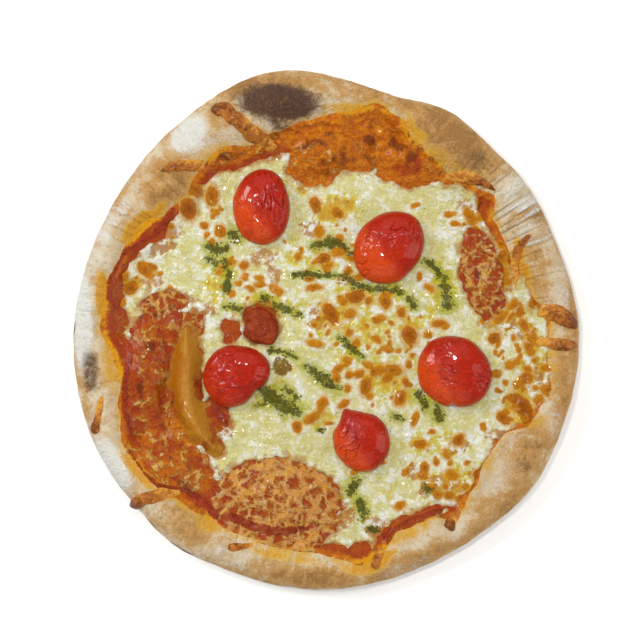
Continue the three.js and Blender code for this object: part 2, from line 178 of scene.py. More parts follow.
# Dark spots and red places of the bare sauce: x, y, half-length, half-width, turn, strength.
DARK_SPOTS = [
    (-8, 93, 4.5, 2.6, 20, 1.0), (3, 97, 4.5, 2.2, 0, 0.9), (21, 96, 4, 2.2, -20, 1.3),
    (36, 93, 4.5, 2.6, -40, 1.1), (42, 87, 3.5, 2.6, 0, 1.0), (47, 89, 3, 2, 0, 1.0),
    (-16, 88, 3, 2, 0, 0.7), (12, 90, 3.5, 2, 0, 0.6), (55, 84, 4, 1.6, -30, 0.7),
    (-26, 97, 5, 1.6, -20, 0.7), (-49, 87.5, 8, 1.8, 10, 0.9), (-60, 83, 5, 1.6, 10, 0.8),
    (28, 88, 2, 5, 10, 0.6), (-88, -8, 2, 5, 0, 0.7), (-93, -30, 2, 6, 0, 0.6),
    (-83, -46, 4, 2, 20, 0.7), (-74, -62, 4, 1.8, -20, 0.6), (78, 42, 2, 4, 20, 0.8),
    (76, 30, 1.8, 4, 0, 0.8), (80, 18, 2, 3, 0, 0.7), (87, 34, 1.6, 3, 0, 0.6),
    (-22, -78, 4, 1.6, 0, 0.5), (-36, -86, 3, 2, 0, 0.5), (-6, -92, 3, 2, 30, 0.6),
    (-70, -78, 5, 2, -30, 0.8), (-18, 100, 8, 1.4, -14, 0.5), (0, 84, 5, 1.6, 10, 0.5),
    (-84, 8, 3, 2, 0, 0.6), (9, 84, 7, 3, -10, 0.7), (-3, 92, 3, 4, 0, 0.5), (24, 82, 3, 5, 20, 0.6),
    (-2, 79, 4, 1.8, 0, 0.6),
]
RED_PLACES = [
    (41, 82, 9, 6, 0, 1.0), (-45, -93, 9, 5, 0, 0.9), (-40, -67, 5, 3, 0, 0.9),
    (-36, -74, 5, 3, 20, 0.8), (-48, -80, 4, 4, 0, 0.9), (-22, -102, 9, 3, 0, 0.8),
    (-12, -98, 7, 3, 0, 0.7), (-92, 12, 5, 4, 0, 0.8), (-72, 7, 7, 4, 0, 0.9), (73, 42, 3, 9, 10, 0.8),
    (84, 20, 3, 7, 0, 0.6), (-66, -66, 5, 3, 0, 0.6), (-28, -84, 6, 3, 0, 0.5), (-10, -86, 4, 3, 0, 0.7),
    (-96, -22, 3, 14, 0, 0.6), (-57, -42, 6, 7, 0, 0.7), (-86, 47, 12, 3, 40, 0.8),
    (12, 104, 4, 2, 0, 0.4), (-48, 0, 7, 6, 0, 0.8), (-80, -58, 6, 3, 0, 0.5),
]
# Brown blisters of the cheese: x, y, half-length, half-width, turn.
BLISTERS = [
    (-69, 61, 6.2, 4.3, 95), (-65.5, 70.5, 4.8, 3.8, -30), (-57.3, 67.5, 5.8, 3.4, 90),
    (-53, 49.5, 3.6, 3, 90), (-61, 52.5, 2.4, 2, 0), (-91, 30.5, 5, 3, -50), (-98, 21.5, 4.4, 3.4, 30),
    (-101, 27, 3, 2.2, 60), (-41, 32.5, 2.8, 2.4, 90), (-3.4, 49.6, 3.2, 2.6, 90), (6.8, 46, 2.6, 2, 90),
    (-1, 36, 4, 3, 10), (6.5, 39.5, 4, 2.6, 10), (15, 17, 5, 3.4, 15), (30, 14.5, 4.2, 2.7, 100),
    (2.5, 8, 6.5, 3.6, -60), (12, 8.2, 3.6, 2.6, 10), (27, 6, 3, 2, 20), (38, 9, 3, 2.4, 80),
    (42, -2.5, 5.2, 4.2, 110), (25.6, -4.4, 3, 2, -50), (-5.5, -6.5, 4.6, 2, -10),
    (33.5, -20, 5.4, 3.2, -8), (37.5, -34, 4.6, 3.2, 75), (20, -28, 5, 3, 80), (6, -19.5, 3.6, 2, 30),
    (11, -16, 2.6, 1.6, 50), (9, -37, 3.2, 2, 40), (-2, -37, 4.8, 2.6, 70), (-7, -44, 5, 2.4, 30),
    (-14.6, -48.5, 3.4, 2.6, 120), (1.5, -46.8, 2.4, 1.2, 10), (44.6, -44.6, 4.2, 1.8, 75),
    (47.5, -57.2, 4.2, 2.4, -10), (60.5, -62.4, 3, 1.9, -60), (28, -66, 2.4, 1.6, 0),
    (66.5, -55.2, 3.6, 3, 40), (79, -48.2, 2.2, 1.6, 90), (88, 37, 3.4, 2.6, 80), (87.5, 27, 3, 2.6, 0),
    (85, 17.5, 3, 2, 30), (92, 44, 3, 2, 60), (63, -72.5, 3.8, 2.4, -15), (76, -72.4, 2.6, 3.6, 10),
    (89, -44, 4, 3, -40), (84.6, -3.8, 3.6, 3.3, 20), (92.4, -17.6, 3, 2.4, -15),
    (110.6, -18.4, 3.6, 2, 10), (100.3, -24, 3.6, 3, 10), (103, -11, 2.2, 2, 0),
    (110.6, -29.6, 4, 3.2, 10), (98.5, -38.4, 8.4, 4.2, -60), (107.5, -37.5, 2.4, 2, 0),
    (99, 3, 4, 2.2, -60), (103.4, -3.6, 4.4, 2.3, -70), (88, 6.6, 5, 2.2, 40), (104, 15, 4.6, 2.2, 65),
    (91, 35, 3, 2.6, 20), (90.5, 24.6, 2.8, 2.4, 0), (94, 13, 3.2, 2.2, 60), (72.4, 57, 5.4, 2.6, -60),
    (62.5, 58.4, 3.4, 1.5, 10), (64.8, 53.6, 2.6, 1.5, 0), (95, -52, 4.2, 2.4, -10),
    (98, -27, 2.2, 1.8, 0), (17, 27, 3.4, 2, 10), (47, 27, 2.4, 1.6, 80), (52, 21.5, 3.4, 1.8, -30),
    (57, 3.5, 4, 2.2, 10), (-5, 63, 4.6, 3, -60), (6, 59, 3.6, 2.6, -40), (14.5, -71, 2, 1.6, 0),
    (75, -78, 3, 2, 0), (69, -83, 3.4, 1.8, 40), (37, -88, 3.2, 2, 20), (-38, 21, 3, 1.6, -20),
    (-25, 20.5, 4.4, 2.2, -25), (-33, 23, 3.4, 1.6, 0), (45, 63, 2.6, 1.2, 30), (-8, 26, 3.2, 1.6, 10),
    (-6, 21.5, 4.4, 1.8, 5), (58, -27, 2, 1.4, 0), (16.5, -22, 3, 2.2, 20), (27, -20, 2.2, 3, 0),
    (40, -26, 2, 2.6, 0), (53, -51, 2, 1.6, 0), (86, -30, 1.8, 1.4, 0), (32, -10, 2, 1.6, 0),
]
# Patches of many small blisters: x, y, half-length, half-width, how many.
SMALL_BLISTERS = [
    (25, 3, 36, 16, 40), (28, -24, 24, 16, 20), (2, 40, 26, 14, 24), (80, 26, 13, 22, 26),
    (98, -14, 14, 30, 34), (58, -74, 22, 12, 30), (99, -36, 10, 13, 16), (-26, -88, 28, 22, 26),
    (-60, 50, 20, 20, 10), (74, 58, 8, 12, 8), (-90, 18, 14, 16, 12), (-40, 24, 20, 12, 12),
]
# Pesto: points and half-widths.
PESTO = [
    ([(-58, 42), (-54, 40), (-50, 41)], [2.4, 3.2, 2.2]), ([(-47, 49), (-44, 45)], [2.4, 1.8]),
    ([(-59, 36), (-54, 34)], [2, 2.4]), ([(-51, 36), (-49, 28), (-50, 21)], [1.6, 2.4, 2.6]),
    ([(-51, 12), (-43, 11)], [1.2, 1.6]),
    ([(-32, 17), (-26, 13), (-21, 11), (-13, 8)], [2, 1.6, 2.2, 1.4]),
    ([(-18, 28), (-8, 28.4), (0, 27.5), (9, 28)], [1, 1.8, 1.4, 1]),
    ([(9, 28), (15, 23), (24, 21), (33, 21), (39, 18)], [1.6, 1.8, 1.8, 1.8, 1.6]),
    ([(-7, 42), (1, 44.5), (7, 43), (12, 39)], [1.6, 3.2, 2, 1.6]),
    ([(49, 36), (55, 31), (59, 26)], [1.4, 1.8, 1.6]), ([(59, 28), (60, 20), (61, 13)], [1.8, 2.6, 3.6]),
    ([(40, 17), (45, 12)], [1.6, 2.4]), ([(7, -3), (13, -9), (19, -14)], [1.4, 2, 1.6]),
    ([(-28, -10), (-20, -11), (-15, -14)], [1.2, 1.4, 1]),
    ([(-10, -18), (-5, -22), (1, -26), (6, -29)], [1.8, 2.6, 3, 2.2]),
    ([(-33, -29), (-27, -33), (-20, -39), (-14, -41)], [2, 4, 4.4, 2.6]),
    ([(-20, -29), (-15, -34)], [1.6, 2]), ([(-35, -38), (-30, -37)], [1.2, 1.4]),
    ([(46, -32), (50, -38)], [2.2, 2]), ([(55, -38), (57, -43)], [2.2, 3]),
    ([(33, -42), (38, -45)], [1.2, 1.6]), ([(12, -80), (15, -76)], [3, 2.6]),
    ([(16, -86), (19, -91)], [2.4, 2.4]), ([(18, -92), (19, -96)], [1.4, 1]),
    ([(22, -100), (26, -101)], [1.8, 1.4]), ([(50, -79), (53, -81)], [1.6, 1.4]),
    ([(-4, -50), (-1, -50)], [0.8, 0.8]),
]
# The dab of olive paste: x, y, half-length, half-width, turn.
OLIVE_BLOB = (-22, -18, 5.2, 5, 0)

# Looks of the bare rim: x, y, half-length, half-width, turn, strength.
SCORCHED = [
    (-24, 113, 20, 9, -4, 1.3), (-22, 106, 9, 7, -90, 0.8), (-117, -20, 12, 4.5, 93, 0.8),
    (-20, 128, 22, 3, -10, 0.25), (103, -55, 5, 4, 0, 0.45), (97, -66, 8, 5, 60, 0.3),
    (75, 84, 7, 5, -30, 0.45), (-70, -96, 7, 4, -20, 0.3), (-11, -122, 6, 3, -8, 0.28),
    (104, 37, 5, 6, 0, 0.22), (-38, 112, 6, 5, 0, 0.2), (58, -116, 4, 1.5, 30, 0.5),
    (112, 20, 6, 4, 60, 0.12), (-126, 2, 4, 1.2, 90, 0.9), (-88, -97, 6, 1.4, -50, 0.9),
    (-70, -111, 10, 1.5, -32, 0.8), (92, -90, 8, 1.5, 45, 0.5), (118, 46, 14, 1.6, -66, 0.5),
    (-48, 119, 14, 3, 30, 0.2), (-95, 88, 20, 2, 45, 0.12),
]
BROWNED = [
    (62, 92, 24, 12, -42, 1.0), (-79, 73, 14, 10, 45, 0.8), (30, 118, 26, 8, -18, 0.45),
    (104, 32, 7, 16, 0, 0.5), (116, -30, 5, 24, 0, 0.5), (100, -58, 14, 9, 60, 0.6),
    (84, -88, 22, 7, 48, 0.45), (-66, -95, 16, 8, -36, 0.5), (-8, -122, 22, 5, -4, 0.75),
    (40, -115, 24, 5, 22, 0.5), (-50, 108, 10, 7, 30, 0.4), (122, 4, 4, 18, 0, 0.5),
    (-104, 68, 16, 3, 55, 0.3), (101, 58, 9, 3, 8, 0.7), (-100, -78, 10, 4, -50, 0.25),
    (-120, -30, 14, 3, 96, 0.3), (-28, 122, 26, 6, 0, 0.6), (-30, -118, 14, 4, 0, 0.3),
    (115, 50, 14, 3, -66, 0.4), (-86, 52, 12, 6, 50, 0.3),
]
FLOURED = [
    (-68, 98, 11, 8, 45, 1.0), (-60, 91, 8, 5, 20, 0.6), (-121, 4, 5, 26, 0, 1.0),
    (-112, 44, 5, 22, -20, 0.55), (-106, -67, 7, 17, 28, 0.85), (-96, 80, 5, 14, -42, 0.4),
    (86, -72, 6, 13, -48, 0.4), (38, 104, 7, 4, 20, 0.4), (98, 68, 13, 11, -50, 0.5),
    (104, 48, 11, 7, 0, 0.45), (0, 111, 8, 3, 8, 0.7), (-95, -92, 12, 5, -45, 0.5),
    (-50, -112, 16, 5, -22, 0.4), (-117, -52, 3, 12, 0, 0.35), (117, 20, 5, 22, 0, 0.45),
    (112, -44, 6, 12, 30, 0.35), (70, -102, 16, 5, 35, 0.15), (40, -118, 16, 4, 18, 0.3),
    (-101, 60, 3, 12, -30, 0.5),
]
# Oil soaked into the rim past the toppings: x, y, half-length, half-width, turn, strength.
OILY = [
    (-91, 54, 15, 4.5, 44, 1.1), (-111.5, 18, 12, 3.4, 88, 1.0), (-106, -12, 20, 6, 94, 0.75),
    (-94, -69, 14, 3.4, -50, 0.9), (-58, -97, 8, 4, -30, 0.8), (-30, -111, 14, 3, -8, 0.7),
    (-8, -115, 10, 2.6, -5, 0.6), (42, -100, 18, 4, 30, 0.7), (30, -114, 24, 5, 14, 1.0),
    (-30, 96, 12, 4, -28, 0.8), (14, 110, 22, 3, -4, 0.7), (44, 100, 9, 8, -50, 0.8),
    (58, 88, 12, 7, -42, 0.6), (74, 75, 12, 4, -28, 0.6), (97.5, 33, 4, 15, 8, 1.0),
    (112, -8, 4, 18, 0, 0.5), (108, -46, 6, 5, -40, 0.5), (82, -66, 5, 14, 20, 0.4),
    (70, -92, 10, 4, 50, 0.3), (-56, 88, 12, 5, 20, 0.6), (-112, -40, 3, 12, 4, 0.4),
    (78, 62, 4, 14, 40, 0.4),
]

# The halves of cherry tomato and the cooked lump: node, half-length, half-width, turn, how much
# narrower the far end is, depth of the wrinkles, their spacing, how long they run, by how much the
# half lies off the middle of its node, and its corners and dents: direction, how far out, how wide.
TOMATOES = [
    ("tomato_half_1", 19.0, 14.2, 92, 0.10, 0.75, 5.5, 2.6, (0, 1.5), [(60, 0.8, 25)]),
    ("tomato_half_2", 19.8, 16.0, 48, 0.04, 0.65, 6.5, 1.6, (0, 1.5), [(150, 1.0, 25), (-75, 0.8, 20)]),
    ("tomato_half_3", 19.2, 17.8, -30, 0.02, 0.75, 5.0, 1.3, (-0.5, 0), [(-94, -1.5, 6), (35, -0.8, 30)]),
    ("tomato_half_4", 17.0, 15.0, 20, 0.02, 0.35, 8.0, 1.6, (0, 0),
     [(21, 1.0, 16), (-112, 1.0, 18), (-40, -3.0, 28), (126, 1.0, 25)]),
    ("tomato_half_5", 15.8, 14.2, 110, 0.06, 0.7, 4.8, 1.3, (-1, 1),
     [(119, 2.4, 11), (80, -1.5, 20), (147, -1.2, 14)]),
]
# Outline of the cooked lump, out from its middle.
LUMP_OUTLINE = [
    (0, 8.4), (35, 7.4), (75, 8.8), (100, 10.2), (130, 8.6), (175, 8.0), (-140, 9.4), (-100, 8.0),
    (-55, 10.4), (-25, 9.0),
]
# Browned shreds over the rim, in the order of their nodes: points and half-widths.
SHREDS = [
    ([(-24, 91), (-33, 96), (-43, 103), (-50, 109), (-56.5, 109.8)], [3.5, 4.6, 3.8, 3.6, 2.8]),
    ([(-60, 83), (-68, 82), (-76, 81.5), (-82, 79)], [3.2, 3.2, 2.2, 0.7]),
    ([(60, 78), (70, 76.5), (77, 74), (84, 69.6)], [3.2, 3.0, 2.2, 0.6]),
    ([(95, 20), (94.5, 31), (95.5, 40), (98, 44), (101, 47.5)], [1.6, 2.2, 2.2, 1.8, 1.3]),
    ([(105, 11.5), (113, 9), (119, 6), (125, 1.6)], [3.4, 4.6, 4.2, 1.6]),
    ([(105, -5.4), (112, -6.2), (119, -7), (125, -7.4)], [2.2, 3.0, 3.0, 1.5]),
    ([(-111, -31), (-112.5, -39), (-114, -46), (-115.5, -50.5)], [1.6, 1.5, 1.9, 3.2]),
    ([(-72, -80), (-82, -81.5), (-90, -83.5), (-97.2, -87.6)], [2.6, 3.4, 3.0, 3.3]),
    ([(68, -88), (65, -92.5), (62, -95.5), (60.5, -98.5)], [2.2, 2.0, 2.4, 3.2]),
    ([(29, -109), (26, -113.5), (23.5, -118)], [2.6, 2.2, 2.3]),
    ([(-35, -106.6), (-42, -107.2), (-48.5, -107.4)], [1.2, 1.6, 2.2]),
]


# A bit of leaf or pepper has this many points, and its middle lies this high over the toppings.
POINTS_OF_A_BIT = 12
BIT_LIFT = 0.12

# The stage: the floor's distance under the pizza in millimetres, and in metres the camera's place and
# each light: name, place, size, the setting with its power, its share of that, and its colour.
FLOOR_GAP = 0.2
CAMERA_PLACE = (-0.003, 0.00525, 0.632)
CAMERA_LENS = 70
DAYLIGHT, ROOM_LIGHT, LAMP_LIGHT = (0.96, 0.98, 1.0), (1.0, 0.99, 0.97), (1.0, 0.98, 0.95)
LIGHTS = [
    ("window", (-0.9, 0.5, 0.75), (0.4, 0.5), "window_power", 1.0, DAYLIGHT),
    ("room_back", (0.2, 1.2, 1.0), (1.8, 1.2), "room_power", 1.2, ROOM_LIGHT),
    ("room_right", (1.5, -0.2, 0.8), (1.2, 1.8), "room_power", 3.6, ROOM_LIGHT),
    ("room_front", (0.0, -1.2, 1.0), (1.8, 1.2), "room_power", 1.2, ROOM_LIGHT),
    ("lamp", (-0.28, 0.2, 0.95), (0.06, 0.05), "lamp_power", 1.0, LAMP_LIGHT),
    ("lamp_back", (0.1, 0.42, 1.0), (0.06, 0.04), "lamp_power", 0.6, LAMP_LIGHT),
    ("lamp_front", (-0.2, -0.16, 1.1), (0.05, 0.04), "lamp_power", 0.5, LAMP_LIGHT),
]


def tone(red, green, blue):
    """A linear colour from the 0 to 255 values of a colour chart."""
    values = [v / 255 for v in (red, green, blue)]
    return tuple(v / 12.92 if v <= 0.04045 else ((v + 0.055) / 1.055) ** 2.4 for v in values)


# ---- Shapes worked out over arrays of places ----


def smoothstep(low, high, value):
    """0 up to low, 1 from high on, and a smooth rise between them."""
    share = np.clip((value - low) / (high - low), 0, 1)
    return share * share * (3 - 2 * share)


def around(pairs):
    """A function of the angle that passes smoothly through (degrees, value) pairs."""
    knots = sorted(pairs)
    at = np.array([k[0] for k in knots], float)
    value = np.array([k[1] for k in knots], float)
    at = np.concatenate([at[-1:] - 360, at, at[:1] + 360])
    value = np.concatenate([value[-1:], value, value[:1]])

    def curve(degrees):
        degrees = (np.asarray(degrees) + 180) % 360 - 180
        i = np.clip(np.searchsorted(at, degrees, side="right") - 1, 0, len(at) - 2)
        share = smoothstep(0, 1, (degrees - at[i]) / (at[i + 1] - at[i]))
        return value[i] * (1 - share) + value[i + 1] * share

    return curve


LATTICE = 128


def lattice_noise(u, v, seed):
    """Gradient noise from about -1 to 1 on a lattice that repeats every LATTICE cells."""
    turn = np.random.default_rng(seed).uniform(0, 2 * np.pi, (LATTICE, LATTICE))
    cell_u, cell_v = np.floor(u).astype(int), np.floor(v).astype(int)
    part_u, part_v = u - cell_u, v - cell_v
    blend_u = part_u**3 * (part_u * (6 * part_u - 15) + 10)
    blend_v = part_v**3 * (part_v * (6 * part_v - 15) + 10)

    def corner(right, up):
        angle = turn[(cell_u + right) % LATTICE, (cell_v + up) % LATTICE]
        return np.cos(angle) * (part_u - right) + np.sin(angle) * (part_v - up)

    low = corner(0, 0) * (1 - blend_u) + corner(1, 0) * blend_u
    high = corner(0, 1) * (1 - blend_u) + corner(1, 1) * blend_u
    return 1.5 * (low * (1 - blend_v) + high * blend_v)


def noise(x, y, size, seed, octaves=1):
    """Noise with features about as large as size, each octave half as large and half as strong."""
    total = 0
    for octave in range(octaves):
        fine = 2**octave
        total = total + lattice_noise(x / size * fine, y / size * fine, seed + 1000 * octave) / fine
    return total / (2 - 2 ** (1 - octaves))


def webs(x, y, size, seed):
    """1 along the strands of an uneven net, 0 in its meshes."""
    ridge = np.abs(noise(x, y, size, seed, 2))
    finer = np.abs(noise(x, y, size * 0.6, seed + 500))
    return np.clip(1 - np.minimum(ridge / 0.22, 0.35 + finer / 0.2), 0, 1)


def radial_noise(radius, degrees, spokes, length, seed):
    """Noise drawn out along the radius; the number of spokes is a multiple of LATTICE."""
    return lattice_noise(degrees / 360 * spokes, radius / length, seed)


def oval(x, y, place):
    """0 in the middle of an oval (x, y, half-length, half-width, turn, ...), 1 on its edge."""
    at_x, at_y, long, wide, turn = place[:5]
    c, s = math.cos(math.radians(turn)), math.sin(math.radians(turn))
    dx, dy = x - at_x, y - at_y
    return np.hypot((dx * c + dy * s) / long, (dy * c - dx * s) / wide)


def stroke(x, y, points, widths):
    """Distance from a line through the points, less its half-width there."""
    best = np.full(np.shape(x), 1e9)
    for (x0, y0), (x1, y1), w0, w1 in zip(points, points[1:], widths, widths[1:]):
        dx, dy = x1 - x0, y1 - y0
        share = np.clip(((x - x0) * dx + (y - y0) * dy) / (dx * dx + dy * dy), 0, 1)
        away = np.hypot(x - x0 - share * dx, y - y0 - share * dy)
        best = np.minimum(best, away - w0 - (w1 - w0) * share)
    return best


def patches(x, y, places, soft=0.5):
    """The strongest of soft-edged ovals (x, y, half-length, half-width, turn, strength)."""
    best = np.zeros(np.shape(x))
    for place in places:
        best = np.maximum(best, place[5] * (1 - smoothstep(1 - soft, 1 + soft, oval(x, y, place))))
    return best


crest_height = around(CREST_HEIGHTS)
topping_pairs = around(TOPPING_EDGE)
cheese_pairs = around(CHEESE_EDGE)


def polar(x, y):
    """Distance from the middle, and degrees from +X."""
    return np.hypot(x, y), np.degrees(np.arctan2(y, x))


def wobble(degrees, size, seed):
    """Noise round a circle as large as the pizza's rim."""
    turn = np.radians(degrees)
    return noise(110 * np.cos(turn), 110 * np.sin(turn), size, seed, 2)


def outline(degrees):
    """Radius of the pizza's outer edge."""
    radius = np.full(np.shape(degrees), MEAN_RADIUS)
    for at, out, width in OUTLINE_LOBES:
        radius = radius + out * np.exp(-((((degrees - at + 180) % 360 - 180) / width) ** 2))
    return radius + 0.45 * wobble(degrees, 9, 11)


def topping_edge(degrees):
    """Radius of the outer edge of the sauce."""
    return topping_pairs(degrees) + 1.1 * wobble(degrees, 7, 12)


def swelling_height(x, y):
    """Height of the blisters and the fold over the flat dough, and of the creases in it."""
    height = np.zeros(np.shape(x))
    for place in SWELLINGS:
        height += place[5] * (1 - smoothstep(0.1, 1.05, oval(x, y, place)))
    across = stroke(x, y, *FOLD) + 8
    height += FOLD_HEIGHT * (1 - smoothstep(0.5, 8.5, across))
    for points, widths, depth in CREASES:
        height -= depth * np.exp(-((np.maximum(stroke(x, y, points, widths), 0) / 1.3) ** 2))
    return height


def wrinkled(x, y):
    """How finely wrinkled the rim is at a place, from 0 to 1."""
    degrees = polar(x, y)[1]
    right = np.exp(-(((degrees - 33) / 20) ** 2))
    front = 0.5 * np.exp(-(((degrees + 115) / 30) ** 2))
    left = 0.5 * np.exp(-((((degrees - 150 + 180) % 360 - 180) / 40) ** 2))
    return np.clip(right + front + left, 0.15, 1)


def dough_top(x, y):
    """Height of the top of the dough, from the flat middle over the crest of the rim."""
    radius, degrees = polar(x, y)
    edge, sauce, high = outline(degrees), topping_pairs(degrees), crest_height(degrees)
    crest = sauce + CREST_PLACE * (edge - sauce)
    out = np.clip((radius - crest) / (edge - crest), 0, 1)
    outer = EDGE_HEIGHT + (high - EDGE_HEIGHT) * np.sqrt(1 - out**2)
    rise = smoothstep(sauce - RISE_LENGTH, crest, radius)
    inner = DOUGH_FLOOR + (high - DOUGH_FLOOR) * rise + swelling_height(x, y) * (1 - rise**2)
    inner = np.maximum(inner, DOUGH_FLOOR - 0.4)
    top = np.where(radius > crest, outer, inner)
    rim = smoothstep(sauce - 6, sauce + 6, radius) * (1 - 0.8 * out**4)
    relief = 0.75 * noise(x, y, 30, 21, 2) + 0.3 * noise(x, y, 9, 22, 2)
    relief += wrinkled(x, y) * 0.45 * radial_noise(radius, degrees, 3 * LATTICE, 18, 23)
    return top + rim * relief + 0.25 * (1 - rim) * noise(x, y, 14, 24)


def dough_underside(x, y):
    """Height of the underside, which curls up to the outer edge."""
    radius, degrees = polar(x, y)
    inset = np.clip((radius - outline(degrees) + FOOT_INSET) / FOOT_INSET, 0, 1)
    lifted = 0.25 * np.clip(noise(x, y, 12, 25, 3), 0, 1) * (1 - inset)
    return EDGE_HEIGHT * (1 - np.sqrt(1 - inset**2)) + lifted


def baked(x, y):
    """How baked and orange the bare sauce is at a place, and how much thin cheese veils it."""
    bake, veil = np.zeros(np.shape(x)), np.zeros(np.shape(x))
    for place in BARE_PLACES:
        near = 1 - smoothstep(0.9, 1.25, oval(x, y, place))
        bake = np.maximum(bake, place[5] * near)
        veil = np.maximum(veil, place[6] * near)
    return bake, veil


def fold_nearness(x, y):
    """1 on the crest of the smooth fold of bare dough, 0 away from it."""
    return 1 - smoothstep(-6, 4.5, stroke(x, y, *FOLD) + 6 * noise(x, y, 10, 37, 2))


def wetness(x, y):
    """1 in the middle of the lines of wet red sauce."""
    wet = np.zeros(np.shape(x))
    for points, widths in SAUCE_LINES:
        wet = np.maximum(wet, 1 - smoothstep(-0.8, 1.2, stroke(x, y, points, widths)))
    return wet


def sauce_top(x, y):
    """Height of the top of the sauce, with its lumps and the strands of cheese on it."""
    radius, degrees = polar(x, y)
    edge = topping_edge(degrees)
    thickness = 1.0 * smoothstep(0, 5, edge - radius) - 0.35 * (1 - smoothstep(-0.5, 1.5, edge - radius))
    lumps = 0.5 * noise(x, y, 6, 31, 2) + 0.35 * noise(x, y, 2.6, 32)
    bake, veil = baked(x, y)
    rough = 0.5 + 0.8 * veil + 0.4 * bake
    inside = smoothstep(0, 4, edge - radius) * (1 - 0.85 * fold_nearness(x, y))
    raised = lace(x, y, veil) * (0.5 + 0.5 * veil) + 0.3 * wetness(x, y)
    raised = raised + 1.6 * np.maximum(bake - 0.4, 0) * noise(x / 2, y, 7, 33, 2)
    return dough_top(x, y) + thickness + inside * (rough * lumps + raised)


def lace(x, y, veil):
    """Strands of melted cheese over the bare sauce, from 0 to 1."""
    patchy = 0.5 + 0.5 * noise(x, y, 9, 34, 2)
    strands = webs(x, y, 6.5, 35) + 1.7 * (veil - 0.5) + 0.9 * (patchy - 0.5)
    return smoothstep(0.15, 0.8, strands) * (veil > 0)


def cheese_reach(x, y):
    """Distance in from the edge of the sheet of cheese; less than 0 where there is none."""
    radius, degrees = polar(x, y)
    reach = cheese_pairs(degrees) - radius
    for place in BARE_PLACES:
        reach = np.minimum(reach, (oval(x, y, place) - 1) * min(place[2], place[3]))
    for points, widths in SAUCE_LINES:
        reach = np.minimum(reach, stroke(x, y, points, widths) + 0.6)
    reach = np.minimum(reach, stroke(x, y, *FOLD) + 0.5)
    return reach + 2.2 * noise(x, y, 9, 41, 2) + 1.2 * noise(x, y, 3.6, 42)


def all_blisters():
    """The named blisters, and the small ones strewn over their patches."""
    rng = np.random.default_rng(5)
    places = list(BLISTERS)
    for at_x, at_y, long, wide, count in SMALL_BLISTERS:
        for _ in range(count):
            away, turn = math.sqrt(rng.uniform()), rng.uniform(0, 2 * math.pi)
            size = 0.9 + 1.5 * rng.uniform() ** 2
            places.append((
                at_x + long * away * math.cos(turn), at_y + wide * away * math.sin(turn),
                size * rng.uniform(1, 1.5), size, rng.uniform(0, 180),
            ))
    return places


EVERY_BLISTER = all_blisters()
BLISTER_DARKNESS = np.clip([(place[3] - 1.5) / 3.2 for place in EVERY_BLISTER], 0, 1)
BLISTER_DARKNESS += np.random.default_rng(6).uniform(-0.3, 0.25, len(EVERY_BLISTER))


def blistering(x, y):
    """Two fields: 1 in the middle of a brown blister, 0 on its edge and down to -1 well away from
    it; and how dark that blister is."""
    warped_x = x + 1.0 * noise(x, y, 3.2, 51, 2)
    warped_y = y + 1.0 * noise(x, y, 3.2, 52, 2)
    best, dark = np.full(np.shape(x), -1.0), np.zeros(np.shape(x))
    for number, place in enumerate(EVERY_BLISTER):
        near = 1 - oval(warped_x, warped_y, place)
        dark = np.where(near > best, BLISTER_DARKNESS[number], dark)
        best = np.maximum(best, near)
    return best, dark


def pesto_nearness(x, y):
    """1 in the middle of a dab of pesto, 0 on its edge, less outside, in half-widths."""
    best = np.full(np.shape(x), -3.0)
    for points, widths in PESTO:
        mean = sum(widths) / len(widths)
        best = np.maximum(best, -stroke(x, y, points, widths) / max(mean, 1))
    return best + 0.7 * noise(x, y, 4, 62, 2)


def thinness(x, y):
    """How much the sauce shows through the cheese, from 0 to 1."""
    best = np.zeros(np.shape(x))
    for place in THIN_PLACES:
        best = np.maximum(best, 1 - smoothstep(0.5, 1.3, oval(x, y, place)))
    return best


def oiliness(x, y):
    """How much yellow oil lies on the cheese, from 0 to 1."""
    return np.clip(patches(x, y, OIL_POOLS, 0.6) + 0.3 * noise(x, y, 12, 61, 2), 0, 1)


def cheese_grain(x, y):
    """Clots of the melted cheese, from about -1 to 1."""
    return 0.6 * noise(x, y, 5.5, 44, 2) + 0.45 * noise(x, y, 2.5, 45, 2)


def tomato_rise(x, y):
    """Height of the cheese drawn up against the tomatoes."""
    rise = np.zeros(np.shape(x))
    for name, long, wide, turn, *_ in TOMATOES:
        near = (oval(x, y, (*MIDDLES[name], long, wide, turn)) - 1) * wide
        rise = np.maximum(rise, 1.1 * np.exp(-((near / 2.2) ** 2)))
    return rise


def knobbliness(x, y):
    """How clotted the cheese is, from smooth at 0.3 to full of knobs at about 1.5."""
    return 0.35 + 0.75 * oiliness(x, y) + 0.5 * thinness(x, y) + 0.3 * np.clip(noise(x, y, 22, 46, 2), 0, 1)


def cheese_top(x, y, reach):
    """Height of the top of the sheet of cheese, which is rounded off at its edge."""
    thickness = 1.5 + 0.5 * noise(x, y, 11, 43)
    share = np.clip(reach / 3.6, 0, 1)
    blister = np.sqrt(np.clip(blistering(x, y)[0], 0, 1))
    waves = 0.5 * noise(x, y, 15, 47, 2)
    lifted = knobbliness(x, y) * cheese_grain(x, y) + waves + 0.8 * blister + tomato_rise(x, y)
    return sauce_top(x, y) - CHEESE_SINK + (thickness + lifted) * np.sqrt(1 - (1 - share) ** 2)


def middle_of(node):
    """Middle of a node's box along X and Y."""
    low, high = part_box(node)
    return tuple((low + high).xy / 2 / MM)


MIDDLES = {tomato[0]: middle_of(tomato[0]) for tomato in TOMATOES}


# ---- Meshes ----


